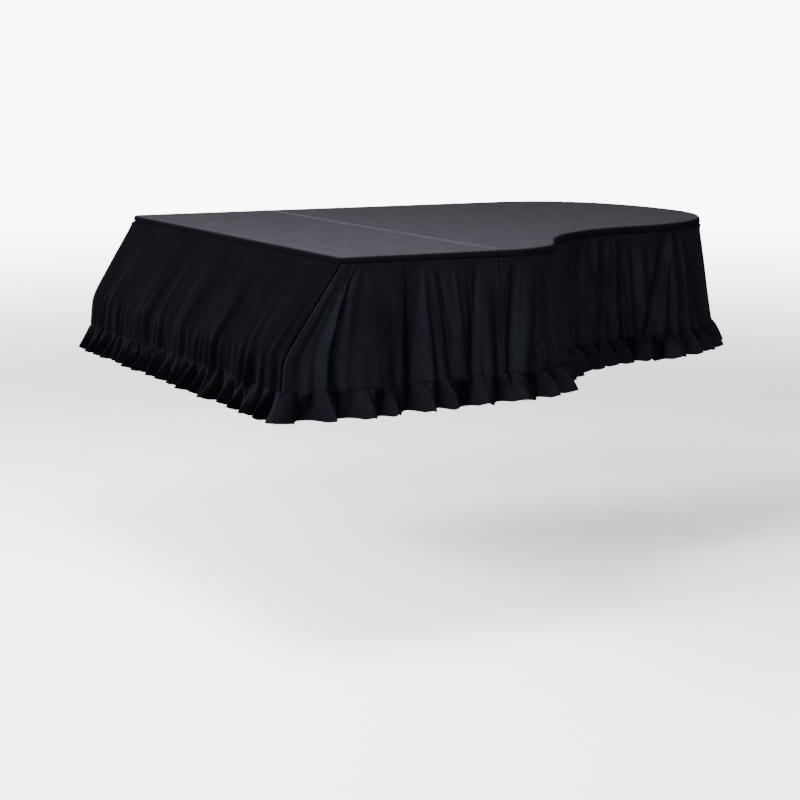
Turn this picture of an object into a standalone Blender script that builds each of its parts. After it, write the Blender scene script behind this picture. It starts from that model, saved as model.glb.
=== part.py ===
"""Fitted cloth cover for a grand piano: two top panels, five drop panels and five frill strips.

Metres, +Z up, +X the treble side, +Y the tail. The origin lies on the underside of the flat top,
in the middle of its width and ORIGIN_FROM_FRONT behind the lid's front edge.

The cloth hangs from the lid's edge, so every panel is worked out from one walk round that edge.
A place on the cover is a run, measured in metres along the frill's seam from the treble front
corner round the tail and back, and a drop, measured in metres down from the top.
"""
import math
from collections import namedtuple

import bmesh
import bpy
from mathutils import Vector

# Cloth
CLOTH = 0.002
JOINT_GAP = 0.0003

# Plan of the lid's edge, starting along the treble side
HALF_WIDTH = 0.755
ORIGIN_FROM_FRONT = 0.812
CORNER_RADIUS = 0.02
TREBLE_RUN = 0.472
SHOULDER_RADIUS, SHOULDER_TURN = 0.25, 60.0
COVE_RADIUS, COVE_TURN = 0.57, 55.0
FLANK_RADIUS, FLANK_TURN = 0.485, 82.0
TAIL_RADIUS, TAIL_TURN = 0.95, 21.0
SPINE_CORNER_RADIUS = 0.33
ARC_STEP = 0.055
STRAIGHT_STEP = 0.11
CORNER_PIECES = 3

# Top panels: turned-down edge, and the seam across them
FRONT_BAND = 0.015
TAIL_BAND = 0.021
BAND_ROUND = 0.009
CROSS_SEAM_Y = -0.362

# Share of a sheet's height where the facing of its two ends is taken
END_SHARE = 0.5

# Drop panels
FRONT_DROP = 0.328
SIDE_DROP = 0.316
DROP_FADE = 0.50
BAND_FADE = 1.2
FRONT_REACH = 0.164
FRONT_BREAK = 0.72
FRONT_BREAK_REACH = 0.160
BREAK_SOFTNESS = 0.014
SPINE_END_REACH = 0.85
CHEEK_WIDTH = 0.06
FRONT_FLARE = 0.006
SIDE_FLARE = 0.028
TAIL_FLARE = 0.042
FLARE_CURVE = 1.1
SKIRT_ROWS = (0.0, 0.24, 0.46, 0.63, 0.76, 0.88, 1.0)
SIDE_SKIRT_STEP = 0.013
TAIL_SKIRT_STEP = 0.016
FRONT_SKIRT_STEP = 0.018
SPINE_SKIRT_STEP = 0.030

# Where the waves, gathers, puckers and folds reach their full height, as shares of the drop
WAVES_FULL_AT = 0.5
GATHERS_FULL_AT = 0.3
PUCKERS_START = 0.62
PUCKERS_FULL_IN = 0.25
SIDE_PUCKERS = 0.25
FOLDS_FULL_IN = 0.9

# Seams down the drop, as distances round the lid's edge
BENT_SEAM_AT = 1.300
TAIL_SEAM_AT = 2.81

# The run over which the cloth is gathered into the band, round the flank and the tail
GATHERS_FROM = 1.0
GATHERS_RISE = 0.4
GATHERS_FADE = 0.3

# Frill
FRILL_HEIGHT = 0.075
FRILL_FLARE = 0.022
FRILL_FLARE_CURVE = 0.8
FRILL_ROWS = (0.0, 0.30, 0.62, 1.0)
PLEAT_COUNT = 66
FRONT_PLEAT = 0.026
SIDE_PLEAT = 0.019
FRONT_OPENING = 1.0
SIDE_OPENING = 0.55
RIDGE_LIFT = 0.008
COLUMNS_PER_PLEAT = 6

# Soft waves of the cloth, each a whole number of waves round the cover
Wave = namedtuple("Wave", "count height shift")
DROP_WAVES = (Wave(23, 0.0022, 0.7), Wave(41, 0.0016, 2.1))
GATHER_WAVES = (Wave(97, 0.0022, 0.4), Wave(131, 0.0014, 1.9))
PUCKER_WAVES = (Wave(89, 0.0030, 1.1), Wave(127, 0.0026, 0.2), Wave(163, 0.0018, 2.6))
BREAK_WAVES = (Wave(19, 0.020, 0.4), Wave(31, 0.016, 2.2))

# Unevenness of the frill's pleats: their pitch, their size and how far they lean at the hem
PLEAT_DRIFT = (Wave(13, 0.55, 1.0), Wave(37, 0.40, 2.0))
PLEAT_SIZES = (Wave(17, 0.18, 0.3), Wave(29, 0.22, 1.6), Wave(47, 0.16, 2.9))
PLEAT_LEANS = (Wave(11, 0.45, 2.2), Wave(23, 0.45, 0.9))

# Named folds. Each row: run and width at the frill's seam, height of the ridge (minus for a
# valley), share of the drop where it starts, and how far its top stands past its foot.
Fold = namedtuple("Fold", "run width height start lean")
TREBLE_FOLDS = (
    Fold(0.096, 0.050, 0.014, -0.20, -0.010),
    Fold(0.138, 0.050, -0.014, -0.10, -0.040),
    Fold(0.215, 0.120, 0.008, 0.00, 0.000),
    Fold(0.290, 0.050, -0.005, 0.15, 0.010),
    Fold(0.338, 0.070, -0.017, -0.40, 0.022),
    Fold(0.398, 0.044, 0.009, -0.10, -0.022),
    Fold(0.436, 0.040, 0.008, 0.00, -0.040),
    Fold(0.488, 0.050, 0.006, 0.00, -0.028),
    Fold(0.516, 0.045, -0.011, -0.10, 0.014),
    Fold(0.565, 0.046, 0.007, 0.00, 0.000),
    Fold(0.590, 0.035, -0.004, 0.10, 0.000),
)
BENTSIDE_FOLDS = (
    Fold(0.624, 0.036, -0.010, -0.20, 0.030),
    Fold(0.655, 0.060, 0.010, -0.10, 0.050),
    Fold(0.712, 0.034, -0.009, 0.60, -0.012),
    Fold(0.772, 0.070, -0.013, -0.10, -0.006),
    Fold(0.850, 0.110, 0.007, 0.00, 0.000),
    Fold(0.980, 0.080, -0.009, -0.10, 0.010),
    Fold(1.090, 0.090, 0.008, 0.00, -0.015),
    Fold(1.208, 0.045, -0.009, -0.30, 0.060),
    Fold(1.258, 0.045, 0.008, -0.30, 0.090),
    Fold(1.330, 0.045, -0.010, -0.30, 0.060),
    Fold(1.395, 0.040, 0.006, -0.30, 0.045),
    Fold(1.440, 0.034, -0.006, -0.30, 0.010),
)
TAIL_FOLDS = (
    Fold(1.466, 0.034, -0.007, -0.30, 0.000),
    Fold(1.525, 0.050, -0.014, -0.30, 0.110),
    Fold(1.574, 0.045, 0.009, -0.20, 0.080),
    Fold(1.640, 0.045, 0.008, -0.30, 0.022),
    Fold(1.688, 0.042, -0.010, -0.30, 0.008),
    Fold(1.752, 0.045, 0.008, -0.10, -0.050),
    Fold(1.790, 0.050, -0.008, -0.30, -0.020),
    Fold(1.850, 0.060, 0.007, -0.10, 0.000),
    Fold(1.924, 0.050, -0.008, -0.30, 0.000),
    Fold(2.080, 0.070, -0.010, -0.20, 0.012),
    Fold(2.240, 0.080, 0.008, -0.10, -0.015),
    Fold(2.410, 0.070, -0.009, -0.20, 0.010),
    Fold(2.600, 0.090, 0.008, 0.00, 0.000),
    Fold(2.760, 0.070, -0.010, -0.20, 0.015),
)
SPINE_FOLDS = (
    Fold(3.060, 0.090, 0.008, 0.00, 0.010),
    Fold(3.230, 0.080, -0.010, -0.20, -0.015),
    Fold(3.440, 0.100, 0.008, 0.00, 0.000),
    Fold(3.650, 0.080, -0.010, -0.10, 0.020),
    Fold(3.860, 0.090, 0.009, 0.00, -0.010),
    Fold(4.040, 0.080, -0.010, 0.00, 0.010),
    Fold(4.230, 0.060, -0.012, 0.00, 0.000),
)
FRONT_FOLDS = (
    Fold(4.560, 0.080, 0.006, 0.20, 0.050),
    Fold(4.740, 0.100, 0.005, 0.15, 0.020),
    Fold(4.885, 0.070, 0.009, 0.10, 0.045),
    Fold(5.000, 0.060, 0.008, 0.05, 0.000),
    Fold(5.100, 0.090, -0.005, 0.10, 0.020),
    Fold(5.180, 0.070, 0.010, 0.10, 0.060),
    Fold(5.330, 0.090, 0.005, 0.10, 0.020),
    Fold(5.452, 0.065, 0.010, 0.10, 0.010),
    Fold(5.575, 0.100, -0.005, 0.10, 0.000),
    Fold(5.705, 0.065, 0.012, 0.05, -0.070),
    Fold(5.838, 0.060, 0.011, 0.05, -0.010),
)
FOLDS = TREBLE_FOLDS + BENTSIDE_FOLDS + TAIL_FOLDS + SPINE_FOLDS + FRONT_FOLDS

CLOTH_COLOUR = (0.012, 0.013, 0.020, 1.0)
CLOTH_ROUGHNESS = 0.85
SHARP_ANGLE = 40.0


def smooth(share):
    """An S-shaped rise from 0 to 1."""
    share = min(max(share, 0.0), 1.0)
    return share * share * (3.0 - 2.0 * share)


# The walk round the lid's edge

Leg = namedtuple("Leg", "start x y heading length turn")


def arc(radius, degrees):
    """Length and signed turn of a round stretch; a minus turn bends outwards."""
    turn = math.radians(degrees)
    return radius * abs(turn), turn


def step_along(x, y, heading, length, turn):
    """Where a stretch of this length and turn ends, from its start."""
    if abs(turn) < 1e-9:
        return x + length * math.cos(heading), y + length * math.sin(heading)
    radius = length / turn
    return (x + radius * (math.sin(heading + turn) - math.sin(heading)),
            y - radius * (math.cos(heading + turn) - math.cos(heading)))


def chain_legs(stretches):
    """Join stretches end to end from the middle of the treble front corner."""
    half = math.radians(45.0)
    x = HALF_WIDTH - CORNER_RADIUS * (1.0 - math.cos(half))
    y = CORNER_RADIUS * (1.0 - math.sin(half)) - ORIGIN_FROM_FRONT
    heading = half
    start = 0.0
    legs = []
    for length, turn in stretches:
        legs.append(Leg(start, x, y, heading, length, turn))
        x, y = step_along(x, y, heading, length, turn)
        heading += turn
        start += length
    return legs, x, y


def lid_edge():
    """The whole edge. Two straights take up what the arcs leave: one on the bent side, across
    the width, and the one down the spine."""
    last_turn = 180.0 - SHOULDER_TURN + COVE_TURN - FLANK_TURN - TAIL_TURN
    before = [arc(CORNER_RADIUS, 45.0),
              (TREBLE_RUN - CORNER_RADIUS, 0.0),
              arc(SHOULDER_RADIUS, SHOULDER_TURN)]
    after = [arc(COVE_RADIUS, -COVE_TURN),
             arc(FLANK_RADIUS, FLANK_TURN),
             arc(TAIL_RADIUS, TAIL_TURN),
             arc(SPINE_CORNER_RADIUS, last_turn)]
    short_x = chain_legs(before + after)[1]
    slack = (-HALF_WIDTH - short_x) / math.cos(math.radians(90.0 + SHOULDER_TURN))
    sides = before + [(slack, 0.0)] + after
    spine_y = chain_legs(sides)[2]
    spine = spine_y + ORIGIN_FROM_FRONT - CORNER_RADIUS
    front = 2.0 * (HALF_WIDTH - CORNER_RADIUS)
    closing = [(spine, 0.0), arc(CORNER_RADIUS, 90.0), (front, 0.0), arc(CORNER_RADIUS, 45.0)]
    return chain_legs(sides + closing)[0]


LEGS = lid_edge()
EDGE_LENGTH = LEGS[-1].start + LEGS[-1].length
CORNER_HALF = CORNER_RADIUS * math.radians(45.0)
SPINE_CORNER_AT = LEGS[-3].start + CORNER_HALF
RUN_LENGTH = EDGE_LENGTH + 2.0 * FRONT_REACH


def edge_at(distance):
    """Point and outward direction at a distance round the lid's edge."""
    distance %= EDGE_LENGTH
    leg = [leg for leg in LEGS if leg.start <= distance][-1]
    along = distance - leg.start
    turn = leg.turn * along / leg.length
    x, y = step_along(leg.x, leg.y, leg.heading, along, turn)
    heading = leg.heading + turn
    return x, y, math.sin(heading), -math.cos(heading)


# From a run along the frill's seam to the lid's edge

def run_of(distance):
    """Run at the frill's seam below a place on the lid's edge, outside the two cheeks."""
    return distance + FRONT_REACH


def station(run):
    """Edge distance and forward share of a run. The front drop stands out over the keyboard, and
    in the two cheeks beside it the cloth fans from the lid's corner down to that drop."""
    run %= RUN_LENGTH
    cheek = CHEEK_WIDTH + FRONT_REACH
    treble_cheek = run - CORNER_HALF
    spine_cheek = SPINE_CORNER_AT - CORNER_HALF + 2.0 * FRONT_REACH - run
    if treble_cheek < 0.0:
        return run, 1.0
    if treble_cheek < cheek:
        return CORNER_HALF + CHEEK_WIDTH * treble_cheek / cheek, 1.0 - treble_cheek / cheek
    if spine_cheek > cheek:
        return run - FRONT_REACH, 0.0
    if spine_cheek > 0.0:
        edge = SPINE_CORNER_AT - CORNER_HALF - CHEEK_WIDTH * spine_cheek / cheek
        return edge, 1.0 - spine_cheek / cheek
    return run - 2.0 * FRONT_REACH, 1.0


TREBLE_SEAM_RUN = run_of(CROSS_SEAM_Y + ORIGIN_FROM_FRONT - CORNER_RADIUS + CORNER_HALF)
BENT_SEAM_RUN = run_of(BENT_SEAM_AT)
TAIL_SEAM_RUN = run_of(TAIL_SEAM_AT)
SPINE_CORNER_RUN = SPINE_CORNER_AT + 2.0 * FRONT_REACH


def sum_of_waves(waves, run):
    """Sum of whole waves round the cover."""
    turn = 2.0 * math.pi * run / RUN_LENGTH
    return sum(wave.height * math.sin(wave.count * turn + wave.shift) for wave in waves)


def front_share(run):
    """1 on the front, fading to 0 along both sides."""
    run %= RUN_LENGTH
    past_treble = run - FRONT_REACH
    past_spine = SPINE_CORNER_RUN - FRONT_REACH - run
    if past_spine < 0.0:
        return 1.0
    return 1.0 - smooth(min(past_treble, past_spine) / DROP_FADE)


def front_blend(run):
    """1 on the front itself, 0 from a cheek's middle on."""
    run %= RUN_LENGTH
    past = min(run, SPINE_CORNER_RUN - run)
    return 1.0 - smooth(past / FRONT_REACH)


def tail_share(run):
    """0 up to the shoulder, 1 from the flank to the spine corner."""
    risen = smooth((run - GATHERS_FROM) / GATHERS_RISE)
    return risen * (1.0 - smooth((run - TAIL_SEAM_RUN) / GATHERS_FADE))


def band_drop(edge):
    """Depth of the turned-down edge: shallow along the front, deeper round the tail."""
    past_front = max(min(edge, SPINE_CORNER_AT - edge), 0.0)
    return FRONT_BAND + (TAIL_BAND - FRONT_BAND) * smooth(past_front / BAND_FADE)


def seam_drop(run):
    """Drop of the frill's seam: lower along the front."""
    return SIDE_DROP + (FRONT_DROP - SIDE_DROP) * front_share(run)


def front_reach(run, share):
    """How far forward the front drop stands at a share of its height, less at the spine end: a
    slope out over the keyboard and an almost plumb fall, rounded where they meet."""
    run %= RUN_LENGTH
    break_at = FRONT_BREAK + sum_of_waves(BREAK_WAVES, run)
    slope = FRONT_BREAK_REACH * share / break_at
    fall = FRONT_BREAK_REACH
    fall += (FRONT_REACH - FRONT_BREAK_REACH) * (share - break_at) / (1.0 - break_at)
    apart = math.hypot(slope - fall, BREAK_SOFTNESS)
    from_treble = min((RUN_LENGTH - run) / (2.0 * HALF_WIDTH), 1.0)
    if run < RUN_LENGTH / 2.0:
        from_treble = 0.0
    narrowed = 1.0 - (1.0 - SPINE_END_REACH) * from_treble
    return max(slope + fall - apart, 0.0) / 2.0 * narrowed


def fold_height(fold, run, share):
    """Height of one fold's ridge or valley at a place on the drop."""
    centre = fold.run + fold.lean * (1.0 - share)
    off = (run - centre + RUN_LENGTH / 2.0) % RUN_LENGTH - RUN_LENGTH / 2.0
    if abs(off) > fold.width / 2.0:
        return 0.0
    across = math.cos(math.pi * off / fold.width) ** 2
    return fold.height * across * smooth((share - fold.start) / FOLDS_FULL_IN)


def skirt_out(run, share):
    """How far the drop stands out from the lid's edge."""
    blend = front_blend(run)
    side = SIDE_FLARE + (TAIL_FLARE - SIDE_FLARE) * tail_share(run)
    flare = (blend * FRONT_FLARE + (1.0 - blend) * side) * share ** FLARE_CURVE
    waves = sum_of_waves(DROP_WAVES, run) * smooth(share / WAVES_FULL_AT)
    gathers = sum_of_waves(GATHER_WAVES, run) * tail_share(run) * smooth(share / GATHERS_FULL_AT)
    puckered = smooth((share - PUCKERS_START) / PUCKERS_FULL_IN)
    puckers = sum_of_waves(PUCKER_WAVES, run) * puckered * max(blend, SIDE_PUCKERS)
    folds = sum(fold_height(fold, run, share) for fold in FOLDS)
    return max(flare + waves + gathers + puckers + folds, 0.0)


Pleat = namedtuple("Pleat", "wave size opened")


def pleat_at(run, share):
    """Where a place lies within its pleat, whose pitch, size and lean are a little uneven."""
    turn = 2.0 * math.pi * PLEAT_COUNT * run / RUN_LENGTH
    phase = turn + sum_of_waves(PLEAT_DRIFT, run) + sum_of_waves(PLEAT_LEANS, run) * share
    blend = front_share(run)
    size = SIDE_PLEAT + (FRONT_PLEAT - SIDE_PLEAT) * blend
    opening = SIDE_OPENING + (FRONT_OPENING - SIDE_OPENING) * blend
    size *= 1.0 + sum_of_waves(PLEAT_SIZES, run)
    return Pleat(math.sin(phase), size, share ** opening)


def cloth_point(run, drop, reach, out):
    """A point of the cloth's outer face."""
    edge, forward = station(run)
    x, y, out_x, out_y = edge_at(edge)
    return Vector((x + out_x * out, y + out_y * out - forward * reach, CLOTH - drop))


def skirt_point(run, share):
    top = band_drop(station(run)[0]) + JOINT_GAP
    drop = top + (seam_drop(run) - top) * share
    return cloth_point(run, drop, front_reach(run, share), skirt_out(run, share))


def frill_point(run, share):
    """The frill stands out from its seam, its pleats opening like cones towards the hem, which
    their ridges lift a little."""
    pleat = pleat_at(run, share)
    out = skirt_out(run, 1.0) + FRILL_FLARE * share ** FRILL_FLARE_CURVE
    out += pleat.size * pleat.opened * pleat.wave
    lift = RIDGE_LIFT * share * max(pleat.wave, 0.0)
    drop = seam_drop(run) + JOINT_GAP + FRILL_HEIGHT * share - lift
    return cloth_point(run, drop, front_reach(run, 1.0), out)


# Sheets

def inward(place, run, share):
    """Level direction from the cloth's outer face to its inner one."""
    step = 0.001
    along = place(run + step, share) - place(run - step, share)
    along.z = 0.0
    return Vector((-along.y, along.x, 0.0)).normalized()


def hang_sheet(name, place, start, end, step, rows):
    """One strip of cloth between two runs: a grid laid on its outer face, then thickened. Its two
    ends face one way from top to bottom, so that neighbours stay apart."""
    columns = round((end - start) / step)
    first = start + JOINT_GAP / 2.0
    width = end - start - JOINT_GAP
    mesh = bmesh.new()
    bmesh.ops.create_grid(mesh, x_segments=columns, y_segments=len(rows) - 1, size=0.5)
    inwards = mesh.verts.layers.float_vector.new("inward")
    for vert in mesh.verts:
        column = round((vert.co.x + 0.5) * columns)
        run = first + width * column / columns
        share = rows[round((vert.co.y + 0.5) * (len(rows) - 1))]
        at_end = column in (0, columns)
        vert[inwards] = inward(place, run, END_SHARE if at_end else share)
        vert.co = place(run, share)
    copied = bmesh.ops.extrude_face_region(mesh, geom=mesh.faces[:], use_keep_orig=True)
    for item in copied["geom"]:
        if isinstance(item, bmesh.types.BMVert):
            item.co += item[inwards] * CLOTH
    mesh.verts.layers.float_vector.remove(inwards)
    return finish_piece(name, mesh)


def finish_piece(name, mesh):
    """Turn the faces outwards and make the named object with its own cloth material."""
    bmesh.ops.recalc_face_normals(mesh, faces=mesh.faces[:])
    data = bpy.data.meshes.new(name)
    mesh.to_mesh(data)
    mesh.free()
    data.shade_smooth()
    data.set_sharp_from_angle(angle=math.radians(SHARP_ANGLE))
    piece = bpy.data.objects.new(name, data)
    bpy.context.scene.collection.objects.link(piece)
    data.materials.append(cloth_material(name))
    return piece


def cloth_material(name):
    material = bpy.data.materials.new(name)
    material.use_nodes = True
    shader = material.node_tree.nodes["Principled BSDF"]
    shader.inputs["Base Color"].default_value = CLOTH_COLOUR
    shader.inputs["Roughness"].default_value = CLOTH_ROUGHNESS
    shader.inputs["Metallic"].default_value = 0.0
    return material


# Top panels

def edge_stations():
    """Distances round the edge: a point where legs meet, and more along each leg."""
    stations = []
    for leg in LEGS:
        if leg.turn:
            pieces = max(CORNER_PIECES, round(leg.length / ARC_STEP))
        else:
            pieces = math.ceil(leg.length / STRAIGHT_STEP)
        stations += [leg.start + leg.length * i / pieces for i in range(pieces)]
    return stations


def top_rings():
    """Section of a top panel from its flat top down the turned edge and back up inside, as
    (how far in from the edge, height, share of the way down the turned edge)."""
    bend = [math.radians(angle) for angle in (0.0, 45.0, 90.0)]
    inner_round = BAND_ROUND - CLOTH
    outside = [(BAND_ROUND * (1.0 - math.sin(a)), CLOTH - BAND_ROUND * (1.0 - math.cos(a)), 0.0)
               for a in bend]
    inside = [(BAND_ROUND - inner_round * math.sin(a), -inner_round * (1.0 - math.cos(a)), 0.0)
              for a in bend]
    return outside + [(0.0, CLOTH, 1.0), (CLOTH, CLOTH, 1.0)] + inside[::-1]


def ring_places(inset, height, fall):
    places = []
    for distance in edge_stations():
        x, y, out_x, out_y = edge_at(distance)
        z = height - band_drop(distance) * fall
        places.append(Vector((x - out_x * inset, y - out_y * inset, z)))
    return places


def whole_top():
    """The top sheet before it is cut at the cross seam."""
    mesh = bmesh.new()
    rings = top_rings()
    verts = [mesh.verts.new(place) for place in ring_places(*rings[0])]
    mesh.faces.new(verts)
    edges = mesh.edges[:]
    for ring in rings[1:]:
        grown = bmesh.ops.extrude_edge_only(mesh, edges=edges)["geom"]
        edges = [item for item in grown if isinstance(item, bmesh.types.BMEdge)]
        verts = order_like(verts, grown)
        for vert, place in zip(verts, ring_places(*ring)):
            vert.co = place
    mesh.faces.new(verts)
    return mesh


def order_like(verts, grown):
    """New ring vertices in the order of the ring that they grew from."""
    new = {item for item in grown if isinstance(item, bmesh.types.BMVert)}
    ordered = []
    for vert in verts:
        partners = [edge.other_vert(vert) for edge in vert.link_edges]
        ordered.append(next(partner for partner in partners if partner in new))
    return ordered


def top_panel(name, seam_y, keep):
    """The part of the top on one side of the cross seam; keep is -1 in front, 1 behind."""
    mesh = whole_top()
    bmesh.ops.bisect_plane(mesh, geom=mesh.verts[:] + mesh.edges[:] + mesh.faces[:], dist=1e-6,
                           plane_co=(0.0, seam_y, 0.0), plane_no=(0.0, -keep, 0.0), clear_outer=True)
    rim = [edge for edge in mesh.edges if edge.is_boundary]
    bmesh.ops.contextual_create(mesh, geom=rim)
    return finish_piece(name, mesh)


def clear_scene():
    for item in list(bpy.data.objects):
        bpy.data.objects.remove(item)


def build_cover():
    half_gap = JOINT_GAP / 2.0
    top_panel("top_front", CROSS_SEAM_Y - half_gap, -1)
    top_panel("top_main", CROSS_SEAM_Y + half_gap, 1)
    panels = (
        ("treble", 0.0, TREBLE_SEAM_RUN, SIDE_SKIRT_STEP),
        ("bentside", TREBLE_SEAM_RUN, BENT_SEAM_RUN, SIDE_SKIRT_STEP),
        ("tail", BENT_SEAM_RUN, TAIL_SEAM_RUN, TAIL_SKIRT_STEP),
        ("spine", TAIL_SEAM_RUN, SPINE_CORNER_RUN, SPINE_SKIRT_STEP),
        ("front", SPINE_CORNER_RUN, RUN_LENGTH, FRONT_SKIRT_STEP),
    )
    frill_step = RUN_LENGTH / PLEAT_COUNT / COLUMNS_PER_PLEAT
    for side, start, end, step in panels:
        hang_sheet("skirt_" + side, skirt_point, start, end, step, SKIRT_ROWS)
        hang_sheet("ruffle_" + side, frill_point, start, end, frill_step, FRILL_ROWS)


clear_scene()
build_cover()
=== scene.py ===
"""The looks of a fitted cloth cover for a grand piano.

Every visible sheet follows the solid that it replaces: the same walk round the lid's edge, the
same drop and the same named folds, with finer creases, gathers, seams and stitches on them.
"""
import math
from collections import namedtuple
from functools import lru_cache

import bmesh
import bpy
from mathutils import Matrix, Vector, kdtree, noise


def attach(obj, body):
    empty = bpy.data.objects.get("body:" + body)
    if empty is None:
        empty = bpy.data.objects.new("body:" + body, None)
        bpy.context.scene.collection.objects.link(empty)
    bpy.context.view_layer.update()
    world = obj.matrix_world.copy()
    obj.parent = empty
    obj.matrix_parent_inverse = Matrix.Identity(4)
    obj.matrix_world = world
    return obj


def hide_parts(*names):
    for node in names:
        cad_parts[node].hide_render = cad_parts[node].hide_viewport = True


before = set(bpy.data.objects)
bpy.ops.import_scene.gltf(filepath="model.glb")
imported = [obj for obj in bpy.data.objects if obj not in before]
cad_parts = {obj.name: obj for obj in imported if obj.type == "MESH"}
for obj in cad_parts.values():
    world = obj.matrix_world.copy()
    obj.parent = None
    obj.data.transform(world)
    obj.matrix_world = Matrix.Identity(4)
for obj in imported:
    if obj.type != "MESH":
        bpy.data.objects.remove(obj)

bl_info = {
    "name": "Grand Piano Cover",
    "version": (1, 0, 0),
    "blender": (4, 5, 0),
    "location": "3D View > Sidebar > Piano Cover",
    "description": "Builds the sewn cloth of a fitted cover: top, drop panels, frill and stitching",
    "category": "Object",
}

BODY = "root"

# The cloth and the solids that it stands for
JOINT_GAP = 0.0003
SOLID_CLOTH = 0.002

# Plan of the lid's edge, starting along the treble side
HALF_WIDTH = 0.755
ORIGIN_FROM_FRONT = 0.812
CORNER_RADIUS = 0.02
TREBLE_RUN = 0.472
SHOULDER_RADIUS, SHOULDER_TURN = 0.25, 60.0
COVE_RADIUS, COVE_TURN = 0.57, 55.0
FLANK_RADIUS, FLANK_TURN = 0.485, 82.0
TAIL_RADIUS, TAIL_TURN = 0.95, 21.0
SPINE_CORNER_RADIUS = 0.33

# Top panels
FRONT_BAND = 0.015
TAIL_BAND = 0.021
BAND_ROUND = 0.009
BAND_FADE = 1.2
CROSS_SEAM_Y = -0.362
FLAT_INSET = 0.018

# Drop panels
FRONT_DROP = 0.328
SIDE_DROP = 0.316
DROP_FADE = 0.50
FRONT_REACH = 0.164
FRONT_BREAK = 0.72
FRONT_BREAK_REACH = 0.160
BREAK_SOFTNESS = 0.014
SPINE_END_REACH = 0.85
CHEEK_WIDTH = 0.06
FRONT_FLARE = 0.006
SIDE_FLARE = 0.028
TAIL_FLARE = 0.042
FLARE_CURVE = 1.1

# Where the waves, gathers, puckers and folds reach their full height, as shares of the drop
WAVES_FULL_AT = 0.5
GATHERS_FULL_AT = 0.3
PUCKERS_START = 0.62
PUCKERS_FULL_IN = 0.25
SIDE_PUCKERS = 0.25
FOLDS_FULL_IN = 0.9

# Seams down the drop, as distances round the lid's edge
BENT_SEAM_AT = 1.300
TAIL_SEAM_AT = 2.81
GATHERS_FROM = 1.0
GATHERS_RISE = 0.4
GATHERS_FADE = 0.3

# Frill
FRILL_HEIGHT = 0.075
FRILL_FLARE = 0.022
FRILL_FLARE_CURVE = 0.8
PLEAT_COUNT = 66
FRONT_PLEAT = 0.026
SIDE_PLEAT = 0.019
FRILL_OPENING = 1.2
SIDE_OPENING = 0.55
RIDGE_LIFT = 0.008

# How the fine cloth is tucked at its seams
TUCK_UP = 0.005
TUCK_IN = 0.0050
ROLL_OUT = 0.0024
HEM_ROLL = 0.0005
ROLL_DEPTH = 0.0055
ROLL_FADE = 0.014
FRILL_TUCK_IN = 0.0010
RIDGE_PINCH = 0.6
VALLEY_DEPTH = 0.7
ARC_LEAN = 2.0
PLEAT_SKEW = 0.5
# Painted shade in the pockets between the frill's pleats
POCKET_SHADE = 0.7
LAP = 0.003
LAP_SUNK = 0.003

Wave = namedtuple("Wave", "count height shift")
DROP_WAVES = (Wave(23, 0.0022, 0.7), Wave(41, 0.0016, 2.1))
GATHER_WAVES = (Wave(97, 0.0022, 0.4), Wave(131, 0.0014, 1.9))
PUCKER_WAVES = (Wave(89, 0.0030, 1.1), Wave(127, 0.0026, 0.2), Wave(163, 0.0018, 2.6))
BREAK_WAVES = (Wave(19, 0.020, 0.4), Wave(31, 0.016, 2.2))

# Unevenness of the frill's pleats: their pitch, their size and how far they lean at the hem
PLEAT_DRIFT = (Wave(13, 0.55, 1.0), Wave(37, 0.40, 2.0))
PLEAT_SIZES = (Wave(17, 0.18, 0.3), Wave(29, 0.22, 1.6), Wave(47, 0.16, 2.9))
PLEAT_LEANS = (Wave(11, 0.45, 2.2), Wave(23, 0.45, 0.9))

# Named folds, as in the solids: run and width at the frill's seam, height of the ridge (minus
# for a valley), share of the drop where it starts, and how far its top stands past its foot
Fold = namedtuple("Fold", "run width height start lean")
TREBLE_FOLDS = (
    Fold(0.096, 0.050, 0.014, -0.20, -0.010),
    Fold(0.138, 0.050, -0.014, -0.10, -0.040),
    Fold(0.215, 0.120, 0.008, 0.00, 0.000),
    Fold(0.290, 0.050, -0.005, 0.15, 0.010),
    Fold(0.338, 0.070, -0.017, -0.40, 0.022),
    Fold(0.398, 0.044, 0.009, -0.10, -0.022),
    Fold(0.436, 0.040, 0.008, 0.00, -0.040),
    Fold(0.488, 0.050, 0.006, 0.00, -0.028),
    Fold(0.516, 0.045, -0.011, -0.10, 0.014),
    Fold(0.565, 0.046, 0.007, 0.00, 0.000),
    Fold(0.590, 0.035, -0.004, 0.10, 0.000),
)
BENTSIDE_FOLDS = (
    Fold(0.624, 0.036, -0.010, -0.20, 0.030),
    Fold(0.655, 0.060, 0.010, -0.10, 0.050),
    Fold(0.712, 0.034, -0.009, 0.60, -0.012),
    Fold(0.772, 0.070, -0.013, -0.10, -0.006),
    Fold(0.850, 0.110, 0.007, 0.00, 0.000),
    Fold(0.980, 0.080, -0.009, -0.10, 0.010),
    Fold(1.090, 0.090, 0.008, 0.00, -0.015),
    Fold(1.208, 0.045, -0.009, -0.30, 0.060),
    Fold(1.258, 0.045, 0.008, -0.30, 0.090),
    Fold(1.330, 0.045, -0.010, -0.30, 0.060),
    Fold(1.395, 0.040, 0.006, -0.30, 0.045),
    Fold(1.440, 0.034, -0.006, -0.30, 0.010),
)
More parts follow.
